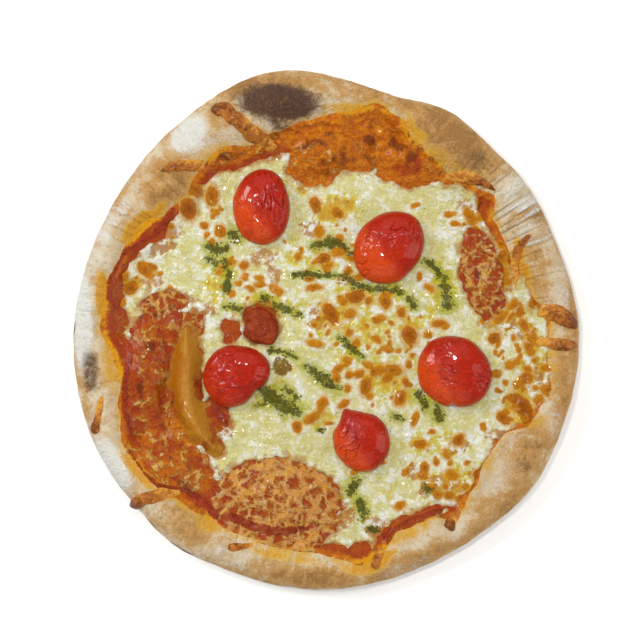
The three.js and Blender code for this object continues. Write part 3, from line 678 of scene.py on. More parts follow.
def add_object(name, points, faces, material, fields=None):
    """A smooth mesh object from points in millimetres, with a number per point for each field."""
    mesh = bpy.data.meshes.new(name)
    mesh.from_pydata((np.asarray(points) * MM).tolist(), [], faces)
    mesh.validate()
    for field, values in (fields or {}).items():
        mesh.attributes.new(field, "FLOAT", "POINT").data.foreach_set("value", values.astype(np.float32))
    mesh.shade_smooth()
    mesh.materials.append(material)
    piece = bpy.data.objects.new(name, mesh)
    bpy.context.scene.collection.objects.link(piece)
    return piece


def finish_piece(piece, nodes=()):
    """Hangs a finished piece on the pizza, in place of the nodes that it stands for."""
    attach(piece, BODY)
    if nodes:
        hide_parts(*nodes)
    return piece


def ring_faces(rings, spokes):
    """Faces of a closed body: a first pole, rings of points, a last pole."""
    first = 1 + np.arange(rings - 1)[:, None] * spokes
    here, after = np.arange(spokes)[None, :], (np.arange(spokes)[None, :] + 1) % spokes
    quads = np.stack([first + here, first + spokes + here, first + spokes + after, first + after], -1)
    here, after = here[0], after[0]
    last, end = 1 + (rings - 1) * spokes, 1 + rings * spokes
    start_cap = np.stack([np.zeros(spokes, int), 1 + here, 1 + after], -1)
    end_cap = np.stack([np.full(spokes, end), last + after, last + here], -1)
    return start_cap.tolist() + quads.reshape(-1, 4).tolist() + end_cap.tolist()


def directions(spokes):
    """Degrees of evenly spaced spokes."""
    return -180 + 360 * np.arange(spokes) / spokes


def round_body(top, under, top_of, under_of, degrees):
    """Points and faces of a closed round body, from the radii of its rings over the top and then over
    the underside, with a point at each of the degrees, and the heights over x and y."""
    turn, over = np.radians(degrees), len(top)
    radii = np.concatenate([top, under])
    x, y = radii * np.cos(turn), radii * np.sin(turn)
    heights = np.concatenate([top_of(x[:over], y[:over]), under_of(x[over:], y[over:])])
    rows = np.stack([x, y, heights], -1).reshape(-1, 3)
    first, last = [0, 0, heights[0].mean()], [0, 0, heights[-1].mean()]
    return np.concatenate([[first], rows, [last]]), ring_faces(len(radii), len(degrees))


def dome_grid(rings, spokes):
    """Slopes from the top of a dome down to its foot, and directions round it."""
    slope = np.linspace(0, np.pi / 2, rings + 1)[1:, None]
    return slope, 2 * np.pi * np.arange(spokes)[None, :] / spokes


def grid(span, spacing):
    """Points of a square grid, and the corners of each of its cells."""
    line = np.arange(-span, span + spacing, spacing)
    x, y = (a.ravel() for a in np.meshgrid(line, line, indexing="ij"))
    count = len(line)
    cells = (np.arange(count - 1)[:, None] * count + np.arange(count - 1)[None, :]).ravel()
    return x, y, np.stack([cells, cells + count, cells + count + 1, cells + 1], -1)


def sheet_body(reach_of, top_of, bottom_of, span, spacing):
    """Points and faces of a thin sheet wherever reach_of is over 0: its top and its bottom meet
    along its edge."""
    x, y, corners = grid(span, spacing)
    reach = reach_of(x, y)
    inside = reach > 0
    index = np.full(len(x), -1)
    index[inside] = np.arange(inside.sum())
    kinds = inside[corners].sum(1)
    faces = index[corners[kinds == 4]].tolist()
    inner = int(inside.sum())
    edge_points, edge_index = [], {}

    def crossing(a, b):
        key = (min(a, b), max(a, b))
        if key not in edge_index:
            share = min(max(reach[key[0]] / (reach[key[0]] - reach[key[1]]), 0.08), 0.92)
            edge_points.append([
                x[key[0]] + share * (x[key[1]] - x[key[0]]),
                y[key[0]] + share * (y[key[1]] - y[key[0]]),
            ])
            edge_index[key] = inner + len(edge_index)
        return edge_index[key]

    for cell in corners[(kinds > 0) & (kinds < 4)].tolist():
        face = []
        for a, b in zip(cell, cell[1:] + cell[:1]):
            if inside[a]:
                face.append(int(index[a]))
            if inside[a] != inside[b]:
                face.append(crossing(a, b))
        faces.append(face)
    edge = np.array(edge_points)
    inner_x, inner_y, inner_reach = x[inside], y[inside], reach[inside]
    top = np.stack([inner_x, inner_y, top_of(inner_x, inner_y, inner_reach)], -1)
    rim = np.column_stack([edge, bottom_of(edge[:, 0], edge[:, 1])])
    bottom = np.stack([inner_x, inner_y, bottom_of(inner_x, inner_y) - 0.25], -1)
    shift = inner + len(edge)
    under = [[k + shift if k < inner else k for k in reversed(face)] for face in faces]
    return np.concatenate([top, rim, bottom]), faces + under


# ---- Shader expressions ----


class Value:
    """A number that varies over a surface. Sums and products of it add Math nodes."""

    def __init__(self, shade, socket):
        self.shade, self.socket = shade, socket

    def _math(self, operation, first, second):
        node = self.shade.node("ShaderNodeMath", {"operation": operation}, {0: first, 1: second})
        return Value(self.shade, node.outputs[0])

    def __add__(self, other):
        return self._math("ADD", self, other)

    __radd__ = __add__

    def __sub__(self, other):
        return self._math("SUBTRACT", self, other)

    def __rsub__(self, other):
        return self._math("SUBTRACT", other, self)

    def __mul__(self, other):
        return self._math("MULTIPLY", self, other)

    __rmul__ = __mul__

    def step(self, low, high):
        """0 below low, 1 above high and smooth between; low may be the larger one."""
        node = self.shade.node(
            "ShaderNodeMapRange", {"interpolation_type": "SMOOTHSTEP"}, {"Value": self}
        )
        ends = (low, high, 0.0, 1.0) if low < high else (high, low, 1.0, 0.0)
        for name, number in zip(("From Min", "From Max", "To Min", "To Max"), ends):
            node.inputs[name].default_value = number
        return Value(self.shade, node.outputs["Result"])


class Nodes:
    """A node tree, in self.tree, that is built node by node."""

    def node(self, kind, settings=None, inputs=None):
        """Adds a node: first its settings, then the values of its sockets or what links to them."""
        node = self.tree.nodes.new(kind)
        for name, setting in (settings or {}).items():
            setattr(node, name, setting)
        for name, given in (inputs or {}).items():
            given = given.socket if isinstance(given, Value) else given
            if isinstance(given, bpy.types.NodeSocket):
                self.tree.links.new(given, node.inputs[name])
            elif node.inputs[name].type == "RGBA":
                node.inputs[name].default_value = (*given, 1)
            else:
                node.inputs[name].default_value = given
        return node


class Shade(Nodes):
    """One material's nodes."""

    def __init__(self, name):
        self.material = bpy.data.materials.new(name)
        self.material.use_nodes = True
        self.tree = self.material.node_tree
        self.tree.nodes.clear()
        self.place = self.node("ShaderNodeTexCoord").outputs["Object"]

    def field(self, name):
        """A number that the piece carries at each of its points."""
        return Value(self, self.node("ShaderNodeAttribute", {"attribute_name": name}).outputs["Fac"])

    def stretched(self, x, y, z):
        """Object coordinates scaled differently along each axis."""
        node = self.node("ShaderNodeMapping", None, {"Vector": self.place, "Scale": (x, y, z)})
        return node.outputs["Vector"]

    def noise(self, size, detail=2.0, roughness=0.55, distortion=0.0, vector=None):
        """Noise from 0 to 1 with features of a size in millimetres."""
        node = self.node("ShaderNodeTexNoise", None, {
            "Vector": vector or self.place, "Scale": 1 / (size * MM), "Detail": detail,
            "Roughness": roughness, "Distortion": distortion,
        })
        return Value(self, node.outputs["Fac"])

    def net(self, size, warp):
        """0 on the strands of an uneven net, about 0.5 in its meshes of a size in millimetres."""
        wave = self.node("ShaderNodeTexNoise", None, {
            "Vector": self.place, "Scale": 1 / (size * MM), "Detail": 3.0,
        })
        bent = self.node("ShaderNodeVectorMath", {"operation": "MULTIPLY_ADD"}, {
            0: wave.outputs["Color"], 1: (warp * MM,) * 3, 2: self.place,
        })
        settings = {"feature": "DISTANCE_TO_EDGE", "voronoi_dimensions": "2D"}
        node = self.node("ShaderNodeTexVoronoi", settings, {
            "Vector": bent.outputs[0], "Scale": 1 / (size * MM),
        })
        return Value(self, node.outputs["Distance"])

    def mix(self, factor, first, second):
        """The first colour where factor is 0, the second where it is 1."""
        node = self.node("ShaderNodeMix", {"data_type": "RGBA"}, {0: factor, 6: first, 7: second})
        return node.outputs[2]

    def bump(self, height, distance):
        """A normal tilted as by a relief of the given height in millimetres."""
        inputs = {"Height": height, "Distance": distance * MM, "Strength": 1.0}
        return self.node("ShaderNodeBump", None, inputs).outputs["Normal"]

    def finish(self, color, roughness, normal=None, **constants):
        """Ends the material in a Principled shader."""
        inputs = {"Base Color": color, "Roughness": roughness}
        if normal:
            inputs["Normal"] = normal
        inputs.update({name.replace("_", " "): value for name, value in constants.items()})
        shader = self.node("ShaderNodeBsdfPrincipled", None, inputs)
        self.node("ShaderNodeOutputMaterial", None, {"Surface": shader.outputs[0]})
        return self.material


def dough_material(settings):
    """Dry baked dough: floury tan, browned and scorched by fields (the brown field also holds painted shade
    on the outer slope of the rim), with oil soaked in.
    """
    shade = Shade("baked_dough")
    mix = shade.mix
    broad, mottle, fine = shade.noise(13, 4, 0.6), shade.noise(5, 5, 0.65), shade.noise(1.5, 3, 0.6)
    grit = shade.noise(0.6, 2)
    brown, flour, scorch = shade.field("brown"), shade.field("flour"), shade.field("scorch")
    oil, streak = shade.field("oil"), shade.field("streak")
    color = mix(broad.step(0.35, 0.65), settings.dough_pale, settings.dough_tan)
    uneven = (mottle - 0.5) * 1.7 + (broad - 0.5) * 1.3 + (fine - 0.5) * 1.0 + streak * 0.4
    color = mix((brown + uneven).step(0.1, 0.8), color, settings.dough_brown)
    color = mix((brown + uneven * 1.1).step(0.75, 1.3) * 0.75, color, settings.dough_deep)
    floury = (flour + (fine - 0.5) * 0.9 + (mottle - 0.5) * 1.3 + streak * 0.7).step(0.25, 0.9)
    color = mix(floury * 0.92, color, settings.flour)
    color = mix((grit + flour * 0.3).step(0.6, 0.78) * 0.35, color, settings.flour)
    color = mix((grit * 0.6 + fine * 0.5).step(0.5, 0.36) * 0.4, color, settings.dough_deep)
    soaked = (oil + (mottle - 0.5) * 1.2 + (fine - 0.5) * 0.8 + (broad - 0.5)).step(0.15, 1.0)
    oil_color = mix((oil + (fine - 0.5) * 0.8).step(0.5, 1.1), settings.oil_soaked, settings.oil_deep)
    color = mix(soaked * 0.9, color, oil_color)
    burnt = (scorch + (mottle - 0.5) * 1.1 + (fine - 0.5) * 0.8).step(0.15, 1.05)
    burnt_color = mix((grit + fine * 0.5).step(0.7, 0.95) * 0.5, settings.scorch, settings.dough_deep)
    color = mix(burnt, color, burnt_color)
    relief = 0.8 * fine + 0.5 * grit + 0.7 * mottle + 1.0 * streak
    normal = shade.bump(relief, 1.8)
    return shade.finish(color, 0.8 - 0.4 * soaked, normal, Specular_IOR_Level=0.2)


def sauce_material(settings):
    """Sauce: fresh red to baked orange, dark in spots, under strands of melted cheese."""
    shade = Shade("tomato_sauce")
    mix = shade.mix
    bake, web, wet, veil = (shade.field(name) for name in ("bake", "lace", "wet", "veil"))
    fold, amber, spots = shade.field("fold"), shade.field("amber"), shade.field("spots")
    red_place, fringe = shade.field("red"), shade.field("fringe")
    smear = shade.noise(5, 4, 0.6, vector=shade.stretched(2.6, 0.8, 1))
    blotch, lump, fine = shade.noise(5.5, 4, 0.6), shade.noise(2.8, 4, 0.6, 0.5), shade.noise(1.1, 3, 0.6)
    red = mix((blotch + (fine - 0.5) * 0.5).step(0.36, 0.62), settings.sauce_red, settings.sauce_orange)
    orange = mix((lump + (fine - 0.5) * 0.5).step(0.4, 0.68), settings.baked_orange, settings.baked_yellow)
    color = mix((bake + (blotch - 0.5) * 1.2 - red_place * 0.7).step(0.2, 0.65), red, orange)
    oily = (fringe + (blotch - 0.5) * 1.2 + (fine - 0.5) * 0.3).step(0.25, 0.6)
    color = mix(oily * 0.9, color, settings.oil_deep)
    dark = (spots * 0.9 + (lump - 0.5) * 0.7 + (fine - 0.5) * 0.3 + bake * 0.08).step(0.2, 0.5)
    color = mix(dark * 0.75, color, settings.sauce_dark)
    strings = shade.net(7.5, 12).step(0.24, 0.0) * 0.6 + shade.net(4, 9).step(0.2, 0.0) * 0.25
    patchy = (lump - 0.5) * 1.6 + (blotch - 0.5) * 2.0 + (smear - 0.5) * 1.2
    strand = (strings + web * 0.35 + (veil - 0.5) * 1.3 + patchy - red_place * 0.3).step(0.2, 0.85)
    stained = (lump + (blotch - 0.5) * 0.8).step(0.44, 0.6)
    strand_color = mix(stained, settings.veil_cream, settings.veil_pink)
    strand_color = mix((lump * 0.5 + blotch * 0.5).step(0.5, 0.58) * 0.6, strand_color, settings.cream_pale)
    strand_color = mix((blotch - lump * 0.5).step(0.24, 0.32) * 0.6, strand_color, settings.oil_gold)
    pale = (veil + (blotch - 0.5) * 1.6 + (smear - 0.5) * 1.2).step(0.62, 0.9)
    strand_color = mix(pale * 0.4, strand_color, settings.stain_pink)
    color = mix(strand * 0.7, color, strand_color)
    wet_color = mix(fine.step(0.4, 0.7), settings.sauce_wet, settings.sauce_red)
    color = mix((wet + (lump - 0.5) * 2.4 + (blotch - 0.5) * 2.0).step(0.35, 0.85) * 0.9, color, wet_color)
    folded = (fold + (blotch - 0.5) * 1.0 + (smear - 0.5) * 0.8).step(0.25, 0.85)
    golden = (amber + (smear - 0.5) * 2.4 + (blotch - 0.5) * 1.4).step(0.0, 0.8)
    fold_color = mix(golden, settings.fold_yellow, settings.fold_amber)
    fold_color = mix((smear + (lump - 0.5) * 0.5).step(0.5, 0.7) * 0.5, fold_color, settings.baked_orange)
    color = mix(folded * 0.92, color, fold_color)
    relief = fine * 0.5 + lump + blotch + strand * 0.3
    normal = shade.bump(relief * (1 - folded * 0.75), 1.9)
    roughness = 0.36 + 0.12 * bake - 0.12 * wet - 0.1 * folded
    return shade.finish(color, roughness, normal, Specular_IOR_Level=0.12, Coat_Weight=0.14,
                        Coat_Roughness=0.05, Subsurface_Weight=0.03, Subsurface_Scale=0.0015)


def cheese_material(settings):
    """Melted cheese: cream, oily yellow in places, stained where thin, with brown blisters, painted
    highlights on its raised clots and painted shade in its hollows.
    """
    shade = Shade("melted_mozzarella")
    mix = shade.mix
    brown, dark, thin, oil = (shade.field(name) for name in ("brown", "dark", "thin", "oil"))
    pesto, rim, grain, web = (shade.field(name) for name in ("pesto", "rim", "grain", "web"))
    broad, clot, fine = shade.noise(9, 4, 0.6), shade.noise(3.0, 4, 0.6, 0.5), shade.noise(1.0, 3, 0.6)
    pits = shade.noise(2.0, 5, 0.7, 1.0)
    uneven = (grain * 0.9 + (clot - 0.5) * 1.1 + (fine - 0.5) * 0.5) * shade.field("knobs")
    # Where the relief of the clots (uneven, clot_height) rises, the colour leans to the pale cream and then
    # to white: partly the cheese's own white, partly painted highlight.
    color = mix((broad - uneven * 0.3).step(0.38, 0.6), settings.cream_pale, settings.cream)
    clot_height = uneven + (pits - 0.5) * 0.9 - (broad - 0.5) * 0.8
    color = mix(clot_height.step(0.02, 0.2) * 0.9, color, settings.cheese_white_and_highlight)
    # Painted shade: the cheese is darkened where its relief is low, in the hollows between clots and in the
    # pits of the bump.
    color = mix((uneven + (clot - 0.5) * 0.5).step(-0.1, -0.45) * 0.75, color, settings.cheese_hollow_shade)
    color = mix((pits + uneven * 0.2).step(0.42, 0.3) * 0.4, color, settings.cheese_hollow_shade)
    # Painted highlight on the raised bumps of the pits noise.
    color = mix((pits + uneven * 0.2).step(0.56, 0.66) * 0.5, color, settings.cheese_white_and_highlight)
    clotted = (brown - (clot - 0.5) * 3.0 + (fine - 0.5) * 0.8).step(-1.0, -0.3)
    color = mix(clotted * 0.6, color, settings.cheese_white_and_highlight)
    yellow = (oil - clot_height * 1.1 - clotted * 0.15).step(0.3, 0.65)
    gold = (oil - clot_height * 1.2 - clotted * 0.15 + (fine - 0.5) * 0.6).step(0.65, 1.0)
    color = mix(yellow * 0.85, color, mix(gold, settings.oil_lemon, settings.oil_gold))
    green_oil = (pesto - clot_height * 1.0).step(-1.6, 0.0)
    color = mix(green_oil * 0.75, color, settings.pesto_oil)
    olive = (shade.field("olive") + (clot - 0.5) * 1.2 - (fine - 0.5) * 0.8).step(0.2, 0.6)
    color = mix(olive * 0.95, color, mix(pits.step(0.5, 0.7), settings.olive, settings.pesto_oil))
    stain = (thin - web * 0.5 - uneven * 1.4 - (pits - 0.5) * 1.8).step(0.45, 0.95)
    oily_stain = (broad + (fine - 0.5) * 0.5).step(0.4, 0.6)
    stain_color = mix(oily_stain, settings.stain_pink, settings.stain_orange)
    color = mix(stain * 0.75, color, stain_color)
    fading = (rim - uneven * 0.7 + (broad - 0.5) * 1.4).step(0.65, 1.15)
    color = mix(fading * 0.75, color, settings.stain_orange)
    edge = brown + (fine - 0.5) * 0.25 + (clot - 0.5) * 0.3
    color = mix((edge + oil * 0.4 - uneven * 0.3).step(-0.5, 0.1) * 0.75, color, settings.halo)
    blister = mix(dark, settings.blister_light, settings.blister)
    color = mix(edge.step(-0.05, 0.2), color, blister)
    darkest = (edge + dark * 0.3 - 0.3 + (fine - 0.5) * 0.6).step(0.25, 0.8)
    color = mix(darkest * 0.7, color, settings.blister_dark)
    green = (pesto + (fine - 0.5) * 1.6 + (clot - 0.5) * 3.0).step(-0.05, 0.6)
    color = mix(green * 0.85, color, mix(clot.step(0.4, 0.6), settings.pesto, settings.pesto_dark))
    normal = shade.bump(clot + 0.5 * fine + 1.0 * pits, 2.4)
    roughness = 0.33 - 0.08 * yellow + 0.12 * edge.step(0, 0.5)
    return shade.finish(color, roughness, normal, Specular_IOR_Level=0.12, Coat_Weight=0.18,
                        Coat_Roughness=0.05, Subsurface_Weight=0.06, Subsurface_Scale=0.0015)


def tomato_material(settings):
    """Glossy skin of a cooked cherry tomato, deep red with painted shade in its creases, and an orange
    lower-left side that is partly painted light.
    """
    shade = Shade("tomato_skin")
    mix = shade.mix
    orange, crease = shade.field("orange"), shade.field("crease")
    mottle, fine = shade.noise(7, 3), shade.noise(1.2, 2)
    # The orange field paints a lighter lower-left side on each half, partly painted light and partly the
    # tomato's own orange.
    color = mix((orange + 0.6 * (mottle - 0.5)).step(0.2, 0.8), settings.tomato_red, settings.tomato_orange_and_lit_side)
    # Painted shade: the skin is darkened along its wrinkles, where the mesh is sunk.
    color = mix(crease * 0.35, color, settings.tomato_crease_shade)
    color = mix(fine.step(0.6, 0.8) * 0.25, color, settings.tomato_orange_and_lit_side)
    pucker = shade.noise(3.6, 1, 0.5, 2.0)
    normal = shade.bump(0.2 * fine + mottle + pucker.step(0.42, 0.56), 0.4)
    return shade.finish(color, 0.3 + 0.1 * crease, normal, Specular_IOR_Level=0.06, Coat_Weight=0.45,
                        Coat_Roughness=0.05, Subsurface_Weight=0.06, Subsurface_Scale=0.003)


def shred_material(settings):
    """Browned cheese: golden at its root and thin edges, dark along its back and at its tip."""
    shade = Shade("browned_cheese")
    mix = shade.mix
    along, above = shade.field("along"), shade.field("above")
    mottle, fine = shade.noise(4, 3, 0.6), shade.noise(1.0, 3, 0.6)
    browning = along * 0.9 + above * 0.15 + (mottle - 0.5) * 2.4 + (fine - 0.5) * 1.0
    color = mix(browning.step(0.05, 0.55), settings.shred_gold, settings.shred_light)
    color = mix(browning.step(0.6, 1.15), color, settings.shred_dark)
    normal = shade.bump(fine * 0.5 + mottle, 1.2)
    return shade.finish(color, 0.42, normal, Specular_IOR_Level=0.08, Coat_Weight=0.15, Coat_Roughness=0.1)


def plain_food(name, light, dark, size, roughness, bump=0.3, coat=0.2):
    """A mottled two-colour food material."""
    shade = Shade(name)
    mottle, fine = shade.noise(size, 3, 0.6), shade.noise(size / 4, 2)
    color = shade.mix((mottle + 0.4 * (fine - 0.5)).step(0.36, 0.64), light, dark)
    normal = shade.bump(mottle + 0.5 * fine, bump)
    return shade.finish(color, roughness, normal, Specular_IOR_Level=0.12, Coat_Weight=coat,
                        Coat_Roughness=0.15)


# ---- Geometry Nodes ----


class Tree(Nodes):
    """A Geometry Nodes tree with named inputs."""

    def __init__(self, name, inputs):
        self.tree = bpy.data.node_groups.new(name, "GeometryNodeTree")
        self.tree.interface.new_socket("Geometry", in_out="INPUT", socket_type="NodeSocketGeometry")
        self.names = {}
        for label, (kind, value) in inputs.items():
            socket = self.tree.interface.new_socket(label, in_out="INPUT", socket_type=kind)
            if value is not None:
                socket.default_value = value
            self.names[label] = socket.identifier
        self.tree.interface.new_socket("Geometry", in_out="OUTPUT", socket_type="NodeSocketGeometry")
        self.inputs = self.tree.nodes.new("NodeGroupInput").outputs
        self.output = self.tree.nodes.new("NodeGroupOutput").inputs["Geometry"]

    def end(self, geometry):
        """Turns instances into real mesh and gives it the material."""
        real = self.node("GeometryNodeRealizeInstances", None, {"Geometry": geometry})
        finish = self.node("GeometryNodeSetMaterial", None, {
            "Geometry": real.outputs[0], "Material": self.inputs["Material"],
        })
        self.tree.links.new(finish.outputs[0], self.output)
        return self

    def apply(self, carrier, name, values):
        """Runs the tree on a carrier object and returns the result as a plain mesh object."""
        modifier = carrier.modifiers.new(self.tree.name, "NODES")
        modifier.node_group = self.tree
        for label, value in values.items():
            modifier[self.names[label]] = value
        graph = bpy.context.evaluated_depsgraph_get()
        mesh = bpy.data.meshes.new_from_object(carrier.evaluated_get(graph), depsgraph=graph)
        carrier.modifiers.remove(modifier)
        piece = bpy.data.objects.new(name, mesh)
        mesh.name = name
        bpy.context.scene.collection.objects.link(piece)
        return piece


def tube_tree():
    """Round strands along the edges of a mesh, as thick as its "thickness" field says."""
    tree = Tree("strands", {
        "Sides": ("NodeSocketInt", 10), "Material": ("NodeSocketMaterial", None),
    })
    curve = tree.node("GeometryNodeMeshToCurve", None, {"Mesh": tree.inputs["Geometry"]})
    thickness = tree.node("GeometryNodeInputNamedAttribute", {"data_type": "FLOAT"}, {"Name": "thickness"})
    section = tree.node("GeometryNodeCurvePrimitiveCircle", None, {
        "Resolution": tree.inputs["Sides"], "Radius": 1.0,
    })
    tube = tree.node("GeometryNodeCurveToMesh", None, {
        "Curve": curve.outputs[0], "Profile Curve": section.outputs["Curve"],
        "Scale": thickness.outputs["Attribute"], "Fill Caps": True,
    })
    return tree.end(tube.outputs[0])


def fleck_tree():
    """Small flat bits strewn over a surface where its "amount" field is high."""
    tree = Tree("flecks", {
        "Density": ("NodeSocketFloat", 1e6), "Least size": ("NodeSocketFloat", 0.5 * MM),
        "Most size": ("NodeSocketFloat", 1.2 * MM), "Flatness": ("NodeSocketFloat", 0.4),
        "Seed": ("NodeSocketInt", 1), "Material": ("NodeSocketMaterial", None),
    })
    amount = tree.node("GeometryNodeInputNamedAttribute", {"data_type": "FLOAT"}, {"Name": "amount"})
    density = tree.node("ShaderNodeMath", {"operation": "MULTIPLY"}, {
        0: amount.outputs["Attribute"], 1: tree.inputs["Density"],
    })
    strewn = tree.node("GeometryNodeDistributePointsOnFaces", None, {
        "Mesh": tree.inputs["Geometry"], "Density": density.outputs[0], "Seed": tree.inputs["Seed"],
    })
    bit = tree.node("GeometryNodeMeshIcoSphere", None, {"Radius": 0.5, "Subdivisions": 1})
    size = tree.node("FunctionNodeRandomValue", {"data_type": "FLOAT"}, {
        2: tree.inputs["Least size"], 3: tree.inputs["Most size"], "Seed": tree.inputs["Seed"],
    })
    turn = tree.node("FunctionNodeRandomValue", {"data_type": "FLOAT_VECTOR"}, {
        0: (-0.5, -0.5, 0.0), 1: (0.5, 0.5, 6.28), "Seed": tree.inputs["Seed"],
    })
    stretch = tree.node("FunctionNodeRandomValue", {"data_type": "FLOAT"}, {2: 0.5, 3: 1.6, "Seed": 9})
    shape = tree.node("ShaderNodeCombineXYZ", None, {
        "X": stretch.outputs[1], "Y": 1.0, "Z": tree.inputs["Flatness"],
    })
    scale = tree.node("ShaderNodeVectorMath", {"operation": "SCALE"}, {
        0: shape.outputs[0], "Scale": size.outputs[1],
    })
    placed = tree.node("GeometryNodeInstanceOnPoints", None, {
        "Points": strewn.outputs["Points"], "Instance": bit.outputs["Mesh"],
        "Rotation": turn.outputs[0], "Scale": scale.outputs[0],
    })
    return tree.end(placed.outputs[0])


def strand_carrier(strands, lift, parts):
    """A mesh of edges along strands (points, half-widths), lying on the surface."""
    rows, edges = [], []
    for path, half_widths in strands:
        path = np.array(path, float)
        steps = np.linspace(0, len(path) - 1, parts * (len(path) - 1) + 1)
        at = np.arange(len(path))
        x, y = np.interp(steps, at, path[:, 0]), np.interp(steps, at, path[:, 1])
        wide = np.interp(steps, at, half_widths)
        wide = wide * np.sqrt(np.clip(0.3 + 2.2 * np.minimum(steps, steps[::-1]), 0, 1))
        first = sum(map(len, rows))
        rows.append(np.column_stack([x, y, wide, steps / steps[-1]]))
        edges += [(first + i, first + i + 1) for i in range(len(x) - 1)]
    x, y, wide, along = np.concatenate(rows).T
    uneven = 0.25 * wide
    x, y = x + uneven * noise(x, y, 5, 97, 2), y + uneven * noise(x, y, 5, 98, 2)
    wide = wide * (1 + 0.2 * noise(x, y, 6, 99, 2))
    points = np.column_stack([x, y, surface_top(x, y) + (lift * along - 0.3 - np.exp(-5 * along)) * wide])
    mesh = bpy.data.meshes.new("strand_paths")
    mesh.from_pydata((points * MM).tolist(), edges, [])
    mesh.attributes.new("thickness", "FLOAT", "POINT").data.foreach_set("value", wide * MM)
    mesh.attributes.new("along", "FLOAT", "POINT").data.foreach_set("value", along)
    carrier = bpy.data.objects.new("strand_paths", mesh)
    bpy.context.scene.collection.objects.link(carrier)
    return carrier


def vertex_places(mesh):
    """Places of a mesh's points in millimetres, a row each."""
    places = np.empty(len(mesh.vertices) * 3)
    mesh.vertices.foreach_get("co", places)
    return places.reshape(-1, 3) / MM


def move_vertices(mesh, places):
    """Moves a mesh's points to places in millimetres."""
    mesh.vertices.foreach_set("co", (places * MM).ravel())
    mesh.update()


def drape(piece, flatness):
    """Flattens the strands of a piece on to the surface under them."""
    places = vertex_places(piece.data)
    base = surface_top(places[:, 0], places[:, 1])
    above = flatness * (places[:, 2] - base)
    places[:, 2] = base + above
    piece.data.attributes.new("above", "FLOAT", "POINT").data.foreach_set("value", above)
    move_vertices(piece.data, places)


def surface_top(x, y):
    """Height of whatever lies on top at a place."""
    reach = cheese_reach(x, y)
    radius, degrees = polar(x, y)
    bare = np.where(radius < topping_edge(degrees), sauce_top(x, y), dough_top(x, y))
    return np.where(reach > 0, cheese_top(x, y, np.maximum(reach, 0)), bare)


def strew(name, amount_of, material, values):
    """Strews flecks over the toppings where amount_of says, as one piece."""
    x, y, corners = grid(TOPPING_REACH, 2.0)
    amount = np.clip(amount_of(x, y), 0, 1)
    corners = corners[amount[corners].max(1) > 0]
    used, corners = np.unique(corners, return_inverse=True)
    x, y, amount = x[used], y[used], amount[used]
    points = np.column_stack([x, y, surface_top(x, y)])
    carrier = add_object("carrier", points, corners.reshape(-1, 4).tolist(), material, {"amount": amount})
    piece = fleck_tree().apply(carrier, name, {"Material": material, **values})
    bpy.data.objects.remove(carrier)
    drop_to_surface(piece)
    return finish_piece(piece)


def drop_to_surface(piece):
    """Shifts each bit of a strewn piece straight up or down so that it lies on the true surface."""
    bits = vertex_places(piece.data).reshape(-1, POINTS_OF_A_BIT, 3)
    middle = bits.mean(1)
    shift = surface_top(middle[:, 0], middle[:, 1]) + BIT_LIFT - middle[:, 2]
    bits[:, :, 2] += shift[:, None]
    move_vertices(piece.data, bits)


# ---- Settings ----


def color_property(label, red, green, blue):
    """A colour setting, from the 0 to 255 values of a colour chart."""
    return bpy.props.FloatVectorProperty(
        name=label, description=f"{label} colour", subtype="COLOR", size=3, min=0, max=1,
        default=tone(red, green, blue),
    )


def length_property(label, description, default):
    """A length setting, in metres."""
    return bpy.props.FloatProperty(
        name=label, description=description, unit="LENGTH", subtype="DISTANCE", default=default, min=0,
    )


def spokes_property(label, description, default):
    """A whole number of points round a ring."""
    return bpy.props.IntProperty(
        name=label, description=description, subtype="UNSIGNED", default=default, min=64,
    )


def power_property(label, description, default):
    """The power of a light, in watts."""
    return bpy.props.FloatProperty(
        name=label, description=description, unit="POWER", default=default, min=0,
    )


class PizzaSizes(bpy.types.PropertyGroup):
    """How finely the pizza is made."""

    rim_spokes: spokes_property("Rim spokes", "Points round each ring of the crust", 640)
    sauce_spokes: spokes_property("Sauce spokes", "Points round each ring of the sauce", 440)
    cheese_spacing: length_property("Cheese spacing", "Distance between points of the cheese", 0.95 * MM)
    leaf_least: length_property("Smallest pesto leaf", "Size of the smallest bit of pesto leaf", 0.35 * MM)
    leaf_most: length_property("Largest pesto leaf", "Size of the largest bit of pesto leaf", 1.3 * MM)
    floor_width: length_property("Floor width", "Width of the floor that the pizza stands on", 3.0)


